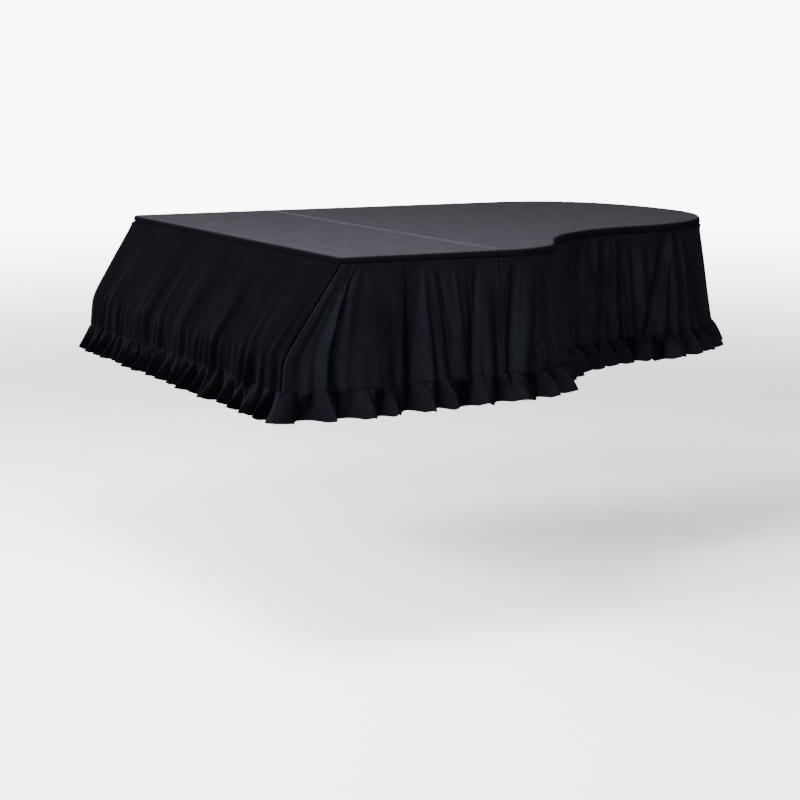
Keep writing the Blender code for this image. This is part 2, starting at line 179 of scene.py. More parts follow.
TAIL_FOLDS = (
    Fold(1.466, 0.034, -0.007, -0.30, 0.000),
    Fold(1.525, 0.050, -0.014, -0.30, 0.110),
    Fold(1.574, 0.045, 0.009, -0.20, 0.080),
    Fold(1.640, 0.045, 0.008, -0.30, 0.022),
    Fold(1.688, 0.042, -0.010, -0.30, 0.008),
    Fold(1.752, 0.045, 0.008, -0.10, -0.050),
    Fold(1.790, 0.050, -0.008, -0.30, -0.020),
    Fold(1.850, 0.060, 0.007, -0.10, 0.000),
    Fold(1.924, 0.050, -0.008, -0.30, 0.000),
    Fold(2.080, 0.070, -0.010, -0.20, 0.012),
    Fold(2.240, 0.080, 0.008, -0.10, -0.015),
    Fold(2.410, 0.070, -0.009, -0.20, 0.010),
    Fold(2.600, 0.090, 0.008, 0.00, 0.000),
    Fold(2.760, 0.070, -0.010, -0.20, 0.015),
)
SPINE_FOLDS = (
    Fold(3.060, 0.090, 0.008, 0.00, 0.010),
    Fold(3.230, 0.080, -0.010, -0.20, -0.015),
    Fold(3.440, 0.100, 0.008, 0.00, 0.000),
    Fold(3.650, 0.080, -0.010, -0.10, 0.020),
    Fold(3.860, 0.090, 0.009, 0.00, -0.010),
    Fold(4.040, 0.080, -0.010, 0.00, 0.010),
    Fold(4.230, 0.060, -0.012, 0.00, 0.000),
)
FRONT_FOLDS = (
    Fold(4.560, 0.080, 0.006, 0.20, 0.050),
    Fold(4.740, 0.100, 0.005, 0.15, 0.020),
    Fold(4.885, 0.070, 0.009, 0.10, 0.045),
    Fold(5.000, 0.060, 0.008, 0.05, 0.000),
    Fold(5.100, 0.090, -0.005, 0.10, 0.020),
    Fold(5.180, 0.070, 0.010, 0.10, 0.060),
    Fold(5.330, 0.090, 0.005, 0.10, 0.020),
    Fold(5.452, 0.065, 0.010, 0.10, 0.010),
    Fold(5.575, 0.100, -0.005, 0.10, 0.000),
    Fold(5.705, 0.065, 0.012, 0.05, -0.070),
    Fold(5.838, 0.060, 0.011, 0.05, -0.010),
)
FOLDS = TREBLE_FOLDS + BENTSIDE_FOLDS + TAIL_FOLDS + SPINE_FOLDS + FRONT_FOLDS

# Short creases on top of the folds: each runs from one place to another on the drop, as run and
# share of the drop, with its width, its height and the sideways bow of its middle
Crease = namedtuple("Crease", "top_run top foot_run foot width height bow")
FOLD_SHIFT = 0.10
CREASE_SHIFT = 0.25
CREASES = (
    Crease(0.009, 0.02, 0.012, 1.00, 0.012, 0.0018, 0.002),
    Crease(0.028, 0.04, 0.034, 0.90, 0.014, -0.0025, 0.004),
    Crease(0.034, 0.02, 0.090, 1.04, 0.018, 0.0032, 0.034),
    Crease(0.058, 0.00, 0.134, 0.96, 0.036, -0.0045, 0.034),
    Crease(0.360, -0.20, 0.342, 1.04, 0.040, -0.0055, 0.000),
    Crease(0.380, -0.06, 0.402, 0.96, 0.016, 0.0022, 0.000),
    Crease(0.406, 0.02, 0.434, 0.80, 0.018, 0.0035, 0.004),
    Crease(0.470, 0.02, 0.490, 0.70, 0.020, 0.0035, 0.000),
    Crease(0.538, 0.00, 0.518, 0.92, 0.022, -0.0040, 0.000),
    Crease(0.650, 0.02, 0.620, 0.94, 0.024, -0.0035, 0.000),
    Crease(0.766, 0.00, 0.776, 1.02, 0.030, -0.0045, 0.000),
    Crease(1.264, 0.10, 1.212, 0.98, 0.026, -0.0050, 0.004),
    Crease(1.284, 0.20, 1.256, 1.02, 0.020, 0.0035, 0.000),
    Crease(1.366, -0.05, 1.270, 1.00, 0.022, 0.0040, -0.006),
    Crease(1.394, -0.05, 1.345, 0.80, 0.020, -0.0040, 0.006),
    Crease(1.636, 0.00, 1.556, 1.02, 0.046, -0.0055, 0.004),
    Crease(1.656, 0.10, 1.578, 1.02, 0.020, 0.0035, 0.000),
    Crease(1.670, 0.20, 1.648, 0.90, 0.018, 0.0030, 0.000),
    Crease(1.702, 0.04, 1.690, 0.86, 0.020, -0.0035, 0.000),
    Crease(0.724, 0.68, 0.676, 0.86, 0.016, 0.0030, 0.000),
    Crease(0.724, 0.68, 0.748, 0.94, 0.016, 0.0030, 0.000),
    Crease(0.702, 0.80, 0.712, 0.98, 0.022, -0.0035, 0.000),
    Crease(0.596, 0.02, 0.606, 0.34, 0.016, 0.0022, 0.000),
    Crease(0.630, 0.08, 0.608, 0.36, 0.016, 0.0022, 0.000),
    Crease(1.446, 0.50, 1.396, 0.96, 0.018, 0.0045, 0.000),
    Crease(1.450, 0.52, 1.478, 0.98, 0.018, 0.0045, 0.000),
    Crease(0.428, 0.06, 0.450, 0.50, 0.016, -0.0028, 0.000),
    Crease(0.508, 0.10, 0.520, 0.70, 0.020, -0.0025, 0.000),
)


class CoverSizes(bpy.types.PropertyGroup):
    """How finely the cloth is cut and sewn."""
    cloth: bpy.props.FloatProperty(
        name="Cloth", description="Thickness of the sheets", default=0.0015, unit="LENGTH")
    skirt_column: bpy.props.FloatProperty(
        name="Drop columns", description="Width of the cloth's cells along the drop panels",
        default=0.004, unit="LENGTH")
    skirt_row: bpy.props.FloatProperty(
        name="Drop rows", description="Height of the cloth's cells on the drop panels",
        default=0.0065, unit="LENGTH")
    frill_column: bpy.props.FloatProperty(
        name="Frill columns", description="Width of the cloth's cells along the frill",
        default=0.003, unit="LENGTH")
    frill_row: bpy.props.FloatProperty(
        name="Frill rows", description="Height of the cloth's cells on the frill",
        default=0.0032, unit="LENGTH")
    top_cell: bpy.props.FloatProperty(
        name="Top cells", description="Width of the cloth's cells on the flat top",
        default=0.025, unit="LENGTH")
    stitch: bpy.props.FloatProperty(
        name="Stitch", description="Distance from one stitch to the next", default=0.0036,
        unit="LENGTH")
    thread: bpy.props.FloatProperty(
        name="Thread", description="Thickness of the sewing thread", default=0.0007,
        unit="LENGTH")


class CoverColours(bpy.types.PropertyGroup):
    """Colours of the cloth, the thread and the room."""
    cloth_dark: bpy.props.FloatVectorProperty(
        name="Cloth, brushed", description="Nap that lies towards the eye", subtype="COLOR",
        size=4, default=(0.0019, 0.0020, 0.0029, 1.0), min=0.0, max=1.0)
    cloth_light: bpy.props.FloatVectorProperty(
        name="Cloth, raised", description="Nap that stands up", subtype="COLOR",
        size=4, default=(0.0025, 0.0027, 0.0037, 1.0), min=0.0, max=1.0)
    # Painted light: the level top is painted lighter, as light falls on it
    painted_top_light: bpy.props.FloatVectorProperty(
        name="Painted top light", description="Dulled nap of the level top", subtype="COLOR",
        size=4, default=(0.0206, 0.0196, 0.0240, 1.0), min=0.0, max=1.0)
    thread: bpy.props.FloatVectorProperty(
        name="Thread", description="Sewing thread", subtype="COLOR",
        size=4, default=(0.0022, 0.0023, 0.0031, 1.0), min=0.0, max=1.0)
    # Painted light: the thread on the top is painted lighter, like the lit top
    painted_light_thread: bpy.props.FloatVectorProperty(
        name="Thread on top", description="Sewing thread that dust and light have dulled",
        subtype="COLOR", size=4, default=(0.045, 0.044, 0.052, 1.0), min=0.0, max=1.0)
    sheen: bpy.props.FloatVectorProperty(
        name="Sheen", description="Tint of the nap at low angles", subtype="COLOR",
        size=4, default=(0.62, 0.63, 0.72, 1.0), min=0.0, max=1.0)
    floor: bpy.props.FloatVectorProperty(
        name="Floor", description="Plain studio floor", subtype="COLOR",
        size=4, default=(0.86, 0.86, 0.87, 1.0), min=0.0, max=1.0)


def smooth(share):
    """An S-shaped rise from 0 to 1."""
    share = min(max(share, 0.0), 1.0)
    return share * share * (3.0 - 2.0 * share)


# The walk round the lid's edge

Leg = namedtuple("Leg", "start x y heading length turn")


def arc(radius, degrees):
    """Length and signed turn of a round stretch; a minus turn bends outwards."""
    turn = math.radians(degrees)
    return radius * abs(turn), turn


def step_along(x, y, heading, length, turn):
    """Where a stretch of this length and turn ends, from its start."""
    if abs(turn) < 1e-9:
        return x + length * math.cos(heading), y + length * math.sin(heading)
    radius = length / turn
    return (x + radius * (math.sin(heading + turn) - math.sin(heading)),
            y - radius * (math.cos(heading + turn) - math.cos(heading)))


def chain_legs(stretches):
    """Join stretches end to end from the middle of the treble front corner."""
    half = math.radians(45.0)
    x = HALF_WIDTH - CORNER_RADIUS * (1.0 - math.cos(half))
    y = CORNER_RADIUS * (1.0 - math.sin(half)) - ORIGIN_FROM_FRONT
    heading = half
    start = 0.0
    legs = []
    for length, turn in stretches:
        legs.append(Leg(start, x, y, heading, length, turn))
        x, y = step_along(x, y, heading, length, turn)
        heading += turn
        start += length
    return legs, x, y


def lid_edge():
    """The whole edge. Two straights take up what the arcs leave: one on the bent side, across
    the width, and the one down the spine."""
    last_turn = 180.0 - SHOULDER_TURN + COVE_TURN - FLANK_TURN - TAIL_TURN
    before = [arc(CORNER_RADIUS, 45.0),
              (TREBLE_RUN - CORNER_RADIUS, 0.0),
              arc(SHOULDER_RADIUS, SHOULDER_TURN)]
    after = [arc(COVE_RADIUS, -COVE_TURN),
             arc(FLANK_RADIUS, FLANK_TURN),
             arc(TAIL_RADIUS, TAIL_TURN),
             arc(SPINE_CORNER_RADIUS, last_turn)]
    short_x = chain_legs(before + after)[1]
    slack = (-HALF_WIDTH - short_x) / math.cos(math.radians(90.0 + SHOULDER_TURN))
    sides = before + [(slack, 0.0)] + after
    spine_y = chain_legs(sides)[2]
    spine = spine_y + ORIGIN_FROM_FRONT - CORNER_RADIUS
    front = 2.0 * (HALF_WIDTH - CORNER_RADIUS)
    closing = [(spine, 0.0), arc(CORNER_RADIUS, 90.0), (front, 0.0), arc(CORNER_RADIUS, 45.0)]
    return chain_legs(sides + closing)[0]


LEGS = lid_edge()
EDGE_LENGTH = LEGS[-1].start + LEGS[-1].length
CORNER_HALF = CORNER_RADIUS * math.radians(45.0)
SPINE_CORNER_AT = LEGS[-3].start + CORNER_HALF
RUN_LENGTH = EDGE_LENGTH + 2.0 * FRONT_REACH


def edge_at(distance):
    """Point and outward direction at a distance round the lid's edge."""
    distance %= EDGE_LENGTH
    leg = [leg for leg in LEGS if leg.start <= distance][-1]
    along = distance - leg.start
    turn = leg.turn * along / leg.length
    x, y = step_along(leg.x, leg.y, leg.heading, along, turn)
    heading = leg.heading + turn
    return x, y, math.sin(heading), -math.cos(heading)


def run_of(distance):
    """Run at the frill's seam below a place on the lid's edge, outside the two cheeks."""
    return distance + FRONT_REACH


def station(run):
    """Edge distance and forward share of a run. The front drop stands out over the keyboard, and
    in the two cheeks beside it the cloth fans from the lid's corner down to that drop."""
    run %= RUN_LENGTH
    cheek = CHEEK_WIDTH + FRONT_REACH
    treble_cheek = run - CORNER_HALF
    spine_cheek = SPINE_CORNER_AT - CORNER_HALF + 2.0 * FRONT_REACH - run
    if treble_cheek < 0.0:
        return run, 1.0
    if treble_cheek < cheek:
        return CORNER_HALF + CHEEK_WIDTH * treble_cheek / cheek, 1.0 - treble_cheek / cheek
    if spine_cheek > cheek:
        return run - FRONT_REACH, 0.0
    if spine_cheek > 0.0:
        edge = SPINE_CORNER_AT - CORNER_HALF - CHEEK_WIDTH * spine_cheek / cheek
        return edge, 1.0 - spine_cheek / cheek
    return run - 2.0 * FRONT_REACH, 1.0


TREBLE_SEAM_EDGE = CROSS_SEAM_Y + ORIGIN_FROM_FRONT - CORNER_RADIUS + CORNER_HALF
TREBLE_SEAM_RUN = run_of(TREBLE_SEAM_EDGE)
BENT_SEAM_RUN = run_of(BENT_SEAM_AT)
TAIL_SEAM_RUN = run_of(TAIL_SEAM_AT)
SPINE_CORNER_RUN = SPINE_CORNER_AT + 2.0 * FRONT_REACH


def sum_of_waves(waves, run):
    """Sum of whole waves round the cover."""
    turn = 2.0 * math.pi * run / RUN_LENGTH
    return sum(wave.height * math.sin(wave.count * turn + wave.shift) for wave in waves)


def front_share(run):
    """1 on the front, fading to 0 along both sides."""
    past_treble = run - FRONT_REACH
    past_spine = SPINE_CORNER_RUN - FRONT_REACH - run
    if past_spine < 0.0:
        return 1.0
    return 1.0 - smooth(min(past_treble, past_spine) / DROP_FADE)


def front_blend(run):
    """1 on the front itself, 0 from a cheek's middle on."""
    past = min(run, SPINE_CORNER_RUN - run)
    return 1.0 - smooth(past / FRONT_REACH)


def tail_share(run):
    """0 up to the shoulder, 1 from the flank to the spine corner."""
    risen = smooth((run - GATHERS_FROM) / GATHERS_RISE)
    return risen * (1.0 - smooth((run - TAIL_SEAM_RUN) / GATHERS_FADE))


def band_drop(edge):
    """Depth of the turned-down edge: shallow along the front, deeper round the tail."""
    past_front = max(min(edge, SPINE_CORNER_AT - edge), 0.0)
    return FRONT_BAND + (TAIL_BAND - FRONT_BAND) * smooth(past_front / BAND_FADE)


def signed_off(run, centre):
    """How far a run lies past a place, the short way round the cover."""
    return (run - centre + RUN_LENGTH / 2.0) % RUN_LENGTH - RUN_LENGTH / 2.0


Column = namedtuple("Column", "x y out_x out_y edge forward blend front tail waves gathers "
                    "puckers spine_reach break_at folds creases")


@lru_cache(maxsize=None)
def column_at(run):
    """All that depends on the run alone, worked out once for each column of cloth."""
    run %= RUN_LENGTH
    edge, forward = station(run)
    x, y, out_x, out_y = edge_at(edge)
    from_treble = 0.0
    if run > RUN_LENGTH / 2.0:
        from_treble = min((RUN_LENGTH - run) / (2.0 * HALF_WIDTH), 1.0)
    folds = [fold for fold in FOLDS
             if abs(signed_off(run, fold.run)) < fold.width / 2.0 + abs(fold.lean) * 1.4]
    creases = [crease for crease in CREASES
               if abs(signed_off(run, (crease.top_run + crease.foot_run) / 2.0))
               < abs(crease.top_run - crease.foot_run) / 2.0 + crease.width + abs(crease.bow)]
    return Column(x, y, out_x, out_y, edge, forward, front_blend(run), front_share(run),
                  tail_share(run), sum_of_waves(DROP_WAVES, run),
                  sum_of_waves(GATHER_WAVES, run), sum_of_waves(PUCKER_WAVES, run),
                  1.0 - (1.0 - SPINE_END_REACH) * from_treble,
                  FRONT_BREAK + sum_of_waves(BREAK_WAVES, run), folds, creases)


def cosine_ridge(off, width, height):
    """A rounded ridge across its width."""
    if abs(off) > width / 2.0:
        return 0.0
    return height * math.cos(math.pi * off / width) ** 2


def fold_height(fold, run, share):
    """Height of one fold's ridge or valley at a place on the drop."""
    off = signed_off(run, fold.run + fold.width * FOLD_SHIFT + fold.lean * (1.0 - share))
    return cosine_ridge(off, fold.width, fold.height) * smooth((share - fold.start) / FOLDS_FULL_IN)


def crease_height(crease, run, share):
    """Height of one short crease at a place on the drop, fading at both its ends."""
    along = (share - crease.top) / (crease.foot - crease.top)
    if not 0.0 < along < 1.0:
        return 0.0
    centre = crease.top_run + (crease.foot_run - crease.top_run) * along
    centre += crease.bow * 4.0 * along * (1.0 - along) + crease.width * CREASE_SHIFT
    fade = smooth(along / 0.2) * smooth((1.0 - along) / 0.2)
    return cosine_ridge(signed_off(run, centre), crease.width, crease.height) * fade


def front_reach(column, share):
    """How far forward the front drop stands at a share of its height, less at the spine end: a
    slope out over the keyboard and an almost plumb fall, rounded where they meet."""
    share = max(share, 0.0)
    slope = FRONT_BREAK_REACH * share / column.break_at
    fall = FRONT_BREAK_REACH
    fall += (FRONT_REACH - FRONT_BREAK_REACH) * (share - column.break_at) / (1.0 - column.break_at)
    apart = math.hypot(slope - fall, BREAK_SOFTNESS)
    return max(slope + fall - apart, 0.0) / 2.0 * column.spine_reach


def drape(run, share):
    """How far the drop stands out from the lid's edge, with its main folds and creases."""
    column = column_at(run)
    share = min(max(share, 0.0), 1.0)
    side = SIDE_FLARE + (TAIL_FLARE - SIDE_FLARE) * column.tail
    flare = (column.blend * FRONT_FLARE + (1.0 - column.blend) * side) * share ** FLARE_CURVE
    waves = column.waves * smooth(share / WAVES_FULL_AT)
    gathers = column.gathers * column.tail * smooth(share / GATHERS_FULL_AT)
    puckered = smooth((share - PUCKERS_START) / PUCKERS_FULL_IN)
    puckers = column.puckers * puckered * max(column.blend, SIDE_PUCKERS)
    folds = sum(fold_height(fold, run, share) for fold in column.folds)
    creases = sum(crease_height(crease, run, share) for crease in column.creases)
    return max(flare + waves + gathers + puckers + folds + creases, 0.0)


# Fine forms of the cloth

SEAM_RUNS = (TREBLE_SEAM_RUN, BENT_SEAM_RUN, TAIL_SEAM_RUN)
CORNER_RUNS = (0.0, SPINE_CORNER_RUN)
SEAM_RIDGE = 0.0006
CORNER_RIDGE = 0.0008
SEAM_RIDGE_AT = 0.0050
SEAM_RIDGE_WIDTH = 0.007
SEAM_TUCK = 0.0013
CORNER_TUCK = 0.0036
SEAM_TUCK_WIDTH = 0.0026
HEM_TUCK = 0.0004
HEM_TUCK_HEIGHT = 0.002
HEM_ROLL_RISE = 0.003
HEM_ROLL_FROM = 0.004
HEM_ROLL_FADE = 0.012
GATHER_DEPTH = 0.0016

# Fine wrinkles: waves for each metre of run, height, and where their noise is read
Grain = namedtuple("Grain", "stretch size seed")
SLACK = Grain(20.0, 0.0030, 1.0)
SLACK_LOST_IN_FRONT = 8.0 / 15.0
CRUMPLE = Grain(70.0, 0.0007, 5.0)
CRUMPLE_LOST_IN_FRONT = 0.6
DRAWN_IN = Grain(150.0, 0.0016, 9.0)
ABOVE_SEAM = Grain(130.0, 0.00132, 13.0)
FANS = Grain(34.0, 0.0055, 17.0)
FRILL_CRUMPLE = Grain(90.0, 0.0016, 21.0)


def round_noise(run, stretch, height, seed):
    """Soft noise of about this many waves for each metre of run, closed round the cover."""
    turn = 2.0 * math.pi * run / RUN_LENGTH
    radius = stretch * RUN_LENGTH / (2.0 * math.pi)
    return noise.noise(Vector((radius * math.cos(turn), radius * math.sin(turn), height + seed)))


def wrinkle(run, drop, grain):
    """Soft noise drawn out down the drop."""
    return grain.size * round_noise(run, grain.stretch, drop * grain.stretch / 7.0, grain.seed)


def seam_form(run):
    """The pressed seam allowances beside an upright seam, and the groove between them."""
    height = 0.0
    for seams, ridge, tuck in ((SEAM_RUNS, SEAM_RIDGE, SEAM_TUCK),
                               (CORNER_RUNS, CORNER_RIDGE, CORNER_TUCK)):
        for seam in seams:
            off = abs(signed_off(run, seam))
            if off < 0.02:
                beside = (off - SEAM_RIDGE_AT) / (SEAM_RIDGE_WIDTH / 2.0)
                height += ridge * math.exp(-beside ** 2)
                height -= tuck * math.exp(-(off / (SEAM_TUCK_WIDTH / 2.0)) ** 2)
    return height


def top_roll(below):
    """The drop's upper edge: tucked up inside the band, then rolled out just under it."""
    tuck = -TUCK_IN * (1.0 - smooth(below / ROLL_DEPTH))
    roll = ROLL_OUT * smooth(below / ROLL_DEPTH) * (1.0 - smooth((below - ROLL_DEPTH) / ROLL_FADE))
    return tuck + roll


def hem_roll(above):
    """The drop's lower edge: rolled out over the frill's gathered edge, then turned in."""
    tuck = HEM_TUCK * (1.0 - smooth(above / HEM_TUCK_HEIGHT))
    fade = 1.0 - smooth((above - HEM_ROLL_FROM) / HEM_ROLL_FADE)
    return HEM_ROLL * smooth(above / HEM_ROLL_RISE) * fade - tuck


def seam_drop(column):
    """Drop of the frill's seam: lower along the front."""
    return SIDE_DROP + (FRONT_DROP - SIDE_DROP) * column.front


def cloth_point(run, drop, reach, out, shift=0.0):
    """A point of the cloth's outer face, with a shift along the run."""
    column = column_at(run)
    x = column.x + column.out_x * out - column.out_y * shift
    y = column.y + column.out_y * out + column.out_x * shift - column.forward * reach
    return Vector((x, y, SOLID_CLOTH - drop))


def skirt_top(column):
    """Drop of a panel's upper edge, just under the band."""
    return band_drop(column.edge) + JOINT_GAP


def skirt_detail(run, share, drop):
    """Small unevenness of the drop on top of its folds."""
    column = column_at(run)
    free = smooth(share / 0.15)
    soft = wrinkle(run, drop, SLACK) * free * (1.0 - SLACK_LOST_IN_FRONT * column.blend)
    fine = wrinkle(run, drop, CRUMPLE) * free * (1.0 - CRUMPLE_LOST_IN_FRONT * column.blend)
    gathers = wrinkle(run, drop, DRAWN_IN) * column.tail * math.exp(-share / 0.25)
    seam = wrinkle(run, drop, ABOVE_SEAM) * smooth((share - 0.86) / 0.12)
    fans = wrinkle(run, drop, FANS) * column.blend * smooth((share - 0.58) / 0.3)
    return soft + fine + gathers + seam + fans


def skirt_place(run, share, sunk):
    """A point of a drop panel, sunk behind its neighbour where they lap; the share may run a
    little past the panel's upper edge, which is tucked up."""
    column = column_at(run)
    top = skirt_top(column)
    height = seam_drop(column) - top
    drop = top + height * share
    out = drape(run, share)
    out += skirt_detail(run, share, drop)
    out += seam_form(run) + top_roll(height * share) + hem_roll(height * (1.0 - share))
    return cloth_point(run, drop, front_reach(column, share), out - sunk)


def pleat_phase(column, run, below):
    """Where a place lies across its pleat: the pleats drift and lean, and on the sides their
    ridges leave the seam in arcs."""
    phase = 2.0 * math.pi * PLEAT_COUNT * run / RUN_LENGTH + sum_of_waves(PLEAT_DRIFT, run)
    phase += sum_of_waves(PLEAT_LEANS, run) * below
    return phase + ARC_LEAN * (1.0 - column.front) * max(1.0 - below, 0.0) ** 3


def frill_place(run, share, sunk):
    """A point of the frill: gathered tight at its seam, its pleats opening towards the hem."""
    column = column_at(run)
    below = max(share, 0.0)
    phase = pleat_phase(column, run, below)
    size = SIDE_PLEAT + (FRONT_PLEAT - SIDE_PLEAT) * column.front
    size *= 1.0 + sum_of_waves(PLEAT_SIZES, run)
    opened = below ** (SIDE_OPENING + (FRILL_OPENING - SIDE_OPENING) * column.front)
    wave = math.sin(phase + PLEAT_SKEW * (1.0 - column.front) * math.sin(phase))
    depth = wave if wave > 0.0 else wave * (1.0 + VALLEY_DEPTH)
    out = drape(run, 1.0) + FRILL_FLARE * below ** FRILL_FLARE_CURVE + size * opened * depth
    out += gathering(phase, below) + wrinkle(run, below * FRILL_HEIGHT, FRILL_CRUMPLE) * below
    out -= FRILL_TUCK_IN * (1.0 - smooth(below * FRILL_HEIGHT / 0.004)) + sunk
    pitch = RUN_LENGTH / PLEAT_COUNT
    shift = pitch / (2.0 * math.pi) * RIDGE_PINCH * math.cos(phase) * opened
    lift = RIDGE_LIFT * below * max(wave, 0.0)
    drop = seam_drop(column) + JOINT_GAP + FRILL_HEIGHT * share - lift
    return cloth_point(run, drop, front_reach(column, 1.0), out, shift)


def painted_pocket_shade(run, share):
    """Painted shade in the pocket between two pleats: the deeper a place lies in it the darker it
    is painted, most just under the seam.
    """
    column = column_at(run)
    below = max(share, 0.0)
    inside = max(-math.sin(pleat_phase(column, run, below)), 0.0)
    return POCKET_SHADE * inside * smooth(below / 0.12) * (1.0 - 0.6 * below)


def gathering(phase, below):
    """The fine tucks under the frill's seam, dying out towards the hem."""
    ripple = math.sin(3.0 * phase + 2.3 * math.sin(phase * 0.37))
    ripple += 0.6 * math.sin(7.0 * phase + 1.7 * math.sin(phase * 0.61))
    return GATHER_DEPTH * ripple * math.exp(-below / 0.25) * smooth(below / 0.06)


# Sheets

def rows_between(first, last, step, extra=()):
    """Even shares from first to last, with some of their own, from the last one up."""
    count = math.ceil((last - first) / step)
    shares = [first + (last - first) * i / count for i in range(count + 1)]
    return sorted(set(shares) | set(extra), reverse=True)


def runs_between(start, end, step):
    """Even runs from start to end, with a few more at both ends where the edge is folded in, and
    the lap under the next panel."""
    count = math.ceil((end - start) / step)
    runs = [start + (end - start) * i / count for i in range(count + 1)]
    fine = (0.0006, 0.0012, 0.0018, 0.0025)
    runs += [start + off for off in fine] + [end - off for off in fine]
    runs += [end + JOINT_GAP / 2.0, end + LAP]
    return sorted(set(runs))


def lay_out(mesh, place, runs, rows, pocket_shade_at=None):
    """Turn a fresh flat grid into a strip of cloth between two runs, with its own UV map in metres,
    the run across and the drop down, and an attribute of painted shade: darker where a fold's side
    faces along the run, lighter where it faces back, and darker in the pockets that a given
    function paints."""
    uv = mesh.loops.layers.uv.new("UVMap")
    lay = mesh.verts.layers.float.new("lay")
    bmesh.ops.create_grid(mesh, x_segments=len(runs) - 1, y_segments=len(rows) - 1, size=0.5)
    spots = {}
    shares = {}
    for vert in mesh.verts:
        run = runs[round((vert.co.x + 0.5) * (len(runs) - 1))]
        share = rows[round((vert.co.y + 0.5) * (len(rows) - 1))]
        sunk = LAP_SUNK if run > runs[-3] else 0.0
        vert.co = place(run, share, sunk)
        spots[vert] = (run, vert.co.z)
        shares[vert] = share
    mesh.normal_update()
    for vert, (run, height) in spots.items():
        column = column_at(run)
        # Painted shade: a fold's side that faces along the run is painted darker, one that faces
        # back lighter
        vert[lay] = vert.normal.y * column.out_x - vert.normal.x * column.out_y
        if pocket_shade_at:
            vert[lay] += pocket_shade_at(run, shares[vert])
    for face in mesh.faces:
        for loop in face.loops:
            loop[uv].uv = spots[loop.vert]


def finish_sheet(name, node, mesh, sizes, materials):
    """Make the sheet's object, give it its thickness, hang it on the body and hide the solid that
    it stands for.
    """
    data = bpy.data.meshes.new(name)
    mesh.to_mesh(data)
    mesh.free()
    data.shade_smooth()
    piece = bpy.data.objects.new(name, data)
    bpy.context.scene.collection.objects.link(piece)
    for material in materials:
        data.materials.append(material)
    thick = piece.modifiers.new("Cloth thickness", "SOLIDIFY")
    thick.thickness = sizes.cloth
    thick.offset = -1.0
    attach(piece, BODY)
    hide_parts(node)
    return piece


# Stitches

STITCH_SHARE = 0.72
SEWN_BESIDE = 0.0075
SEWN_ABOVE_FRILL = 0.005
SEWN_ABOVE_HEM = 0.007
SEWN_DOWN_BAND = 0.6
THREAD_LIFT = -0.0003
SAMPLE = 0.0009
SECTION = ((-1.0, -1.0), (1.0, -1.0), (1.0, 1.0), (-1.0, 1.0))


def places_along(place, first, last):
    """Closely spaced places along a line, from a function of one distance."""
    count = max(2, math.ceil(abs(last - first) / SAMPLE))
    return [place(first + (last - first) * i / count) for i in range(count + 1)]


def add_stitch(mesh, begin, end, thread):
    """One straight stitch, half sunk in the cloth."""
    along = (end - begin).normalized()
    side = along.orthogonal().normalized() * thread / 2.0
    over = along.cross(side)
    ring = [[mesh.verts.new(spot + a * side + b * over) for a, b in SECTION]
            for spot in (begin, end)]
    for i in range(4):
        j = (i + 1) % 4
        mesh.faces.new((ring[0][i], ring[0][j], ring[1][j], ring[1][i]))
    mesh.faces.new(ring[0][::-1])
    mesh.faces.new(ring[1])


def lay_stitches(mesh, line, sizes):
    """Stitches of one length, a little apart, along a line of places."""
    walked = 0.0
    begin = line[0]
    for before, place in zip(line, line[1:]):
        walked += (place - before).length
        if begin and walked >= sizes.stitch * STITCH_SHARE:
            add_stitch(mesh, begin, place, sizes.thread)
            begin = None
        if walked >= sizes.stitch:
            walked = 0.0
            begin = place


def sew(name, lines, sizes, colours, thread="sewing_thread"):
    """One object with the stitches along these lines."""
    mesh = bmesh.new()
    for line in lines:
        lay_stitches(mesh, line, sizes)
    data = bpy.data.meshes.new(name)
    mesh.to_mesh(data)
    mesh.free()
    piece = bpy.data.objects.new(name, data)
    bpy.context.scene.collection.objects.link(piece)
    data.materials.append(material_for(thread, colours))
    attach(piece, BODY)
    return piece


def skirt_lines(start, end):
    """A row above the frill, and one beside each upright seam."""
    height = SIDE_DROP - FRONT_BAND
    low = 1.0 - SEWN_ABOVE_FRILL / height
    lines = [places_along(lambda run: skirt_place(run, low, THREAD_LIFT), start + 0.003,
                          end - 0.003)]
    for run in (start + SEWN_BESIDE, end - SEWN_BESIDE):
        lines.append(places_along(lambda down: skirt_place(run, down / height, THREAD_LIFT),
                                  0.008, height - 0.008))
    return lines


def frill_lines(start, end):
    """The row that holds the frill's hem."""
    share = 1.0 - SEWN_ABOVE_HEM / FRILL_HEIGHT
    return [places_along(lambda run: frill_place(run, share, THREAD_LIFT), start + 0.003,
                         end - 0.003)]


Panel = namedtuple("Panel", "side start end")
PANELS = (
    Panel("treble", 0.0, TREBLE_SEAM_RUN),
    Panel("bentside", TREBLE_SEAM_RUN, BENT_SEAM_RUN),
    Panel("tail", BENT_SEAM_RUN, TAIL_SEAM_RUN),
    Panel("spine", TAIL_SEAM_RUN, SPINE_CORNER_RUN),
    Panel("front", SPINE_CORNER_RUN, RUN_LENGTH),
)


def seam_ends(panel):
    """Runs where a panel's cloth starts and ends, half a gap inside its seams."""
    return panel.start + JOINT_GAP / 2.0, panel.end - JOINT_GAP / 2.0


def hang_skirt(panel, sizes, colours, material):
    """One drop panel with its stitches."""
    start, end = seam_ends(panel)
    height = SIDE_DROP - FRONT_BAND
    step = sizes.skirt_row / height
    fine = [i * 0.0015 / height for i in range(1, 8)]
    edges = [-TUCK_UP / height, -TUCK_UP / height / 2.0] + fine + [1.0 - share for share in fine]
    rows = rows_between(0.0, 1.0, step, edges)
    mesh = bmesh.new()
    lay_out(mesh, skirt_place, runs_between(start, end, sizes.skirt_column), rows)
    name = "cloth_skirt_" + panel.side
    piece = finish_sheet(name, "skirt_" + panel.side, mesh, sizes, [material])
    sewn = sew("stitches_skirt_" + panel.side, skirt_lines(start, end), sizes, colours)
    return piece


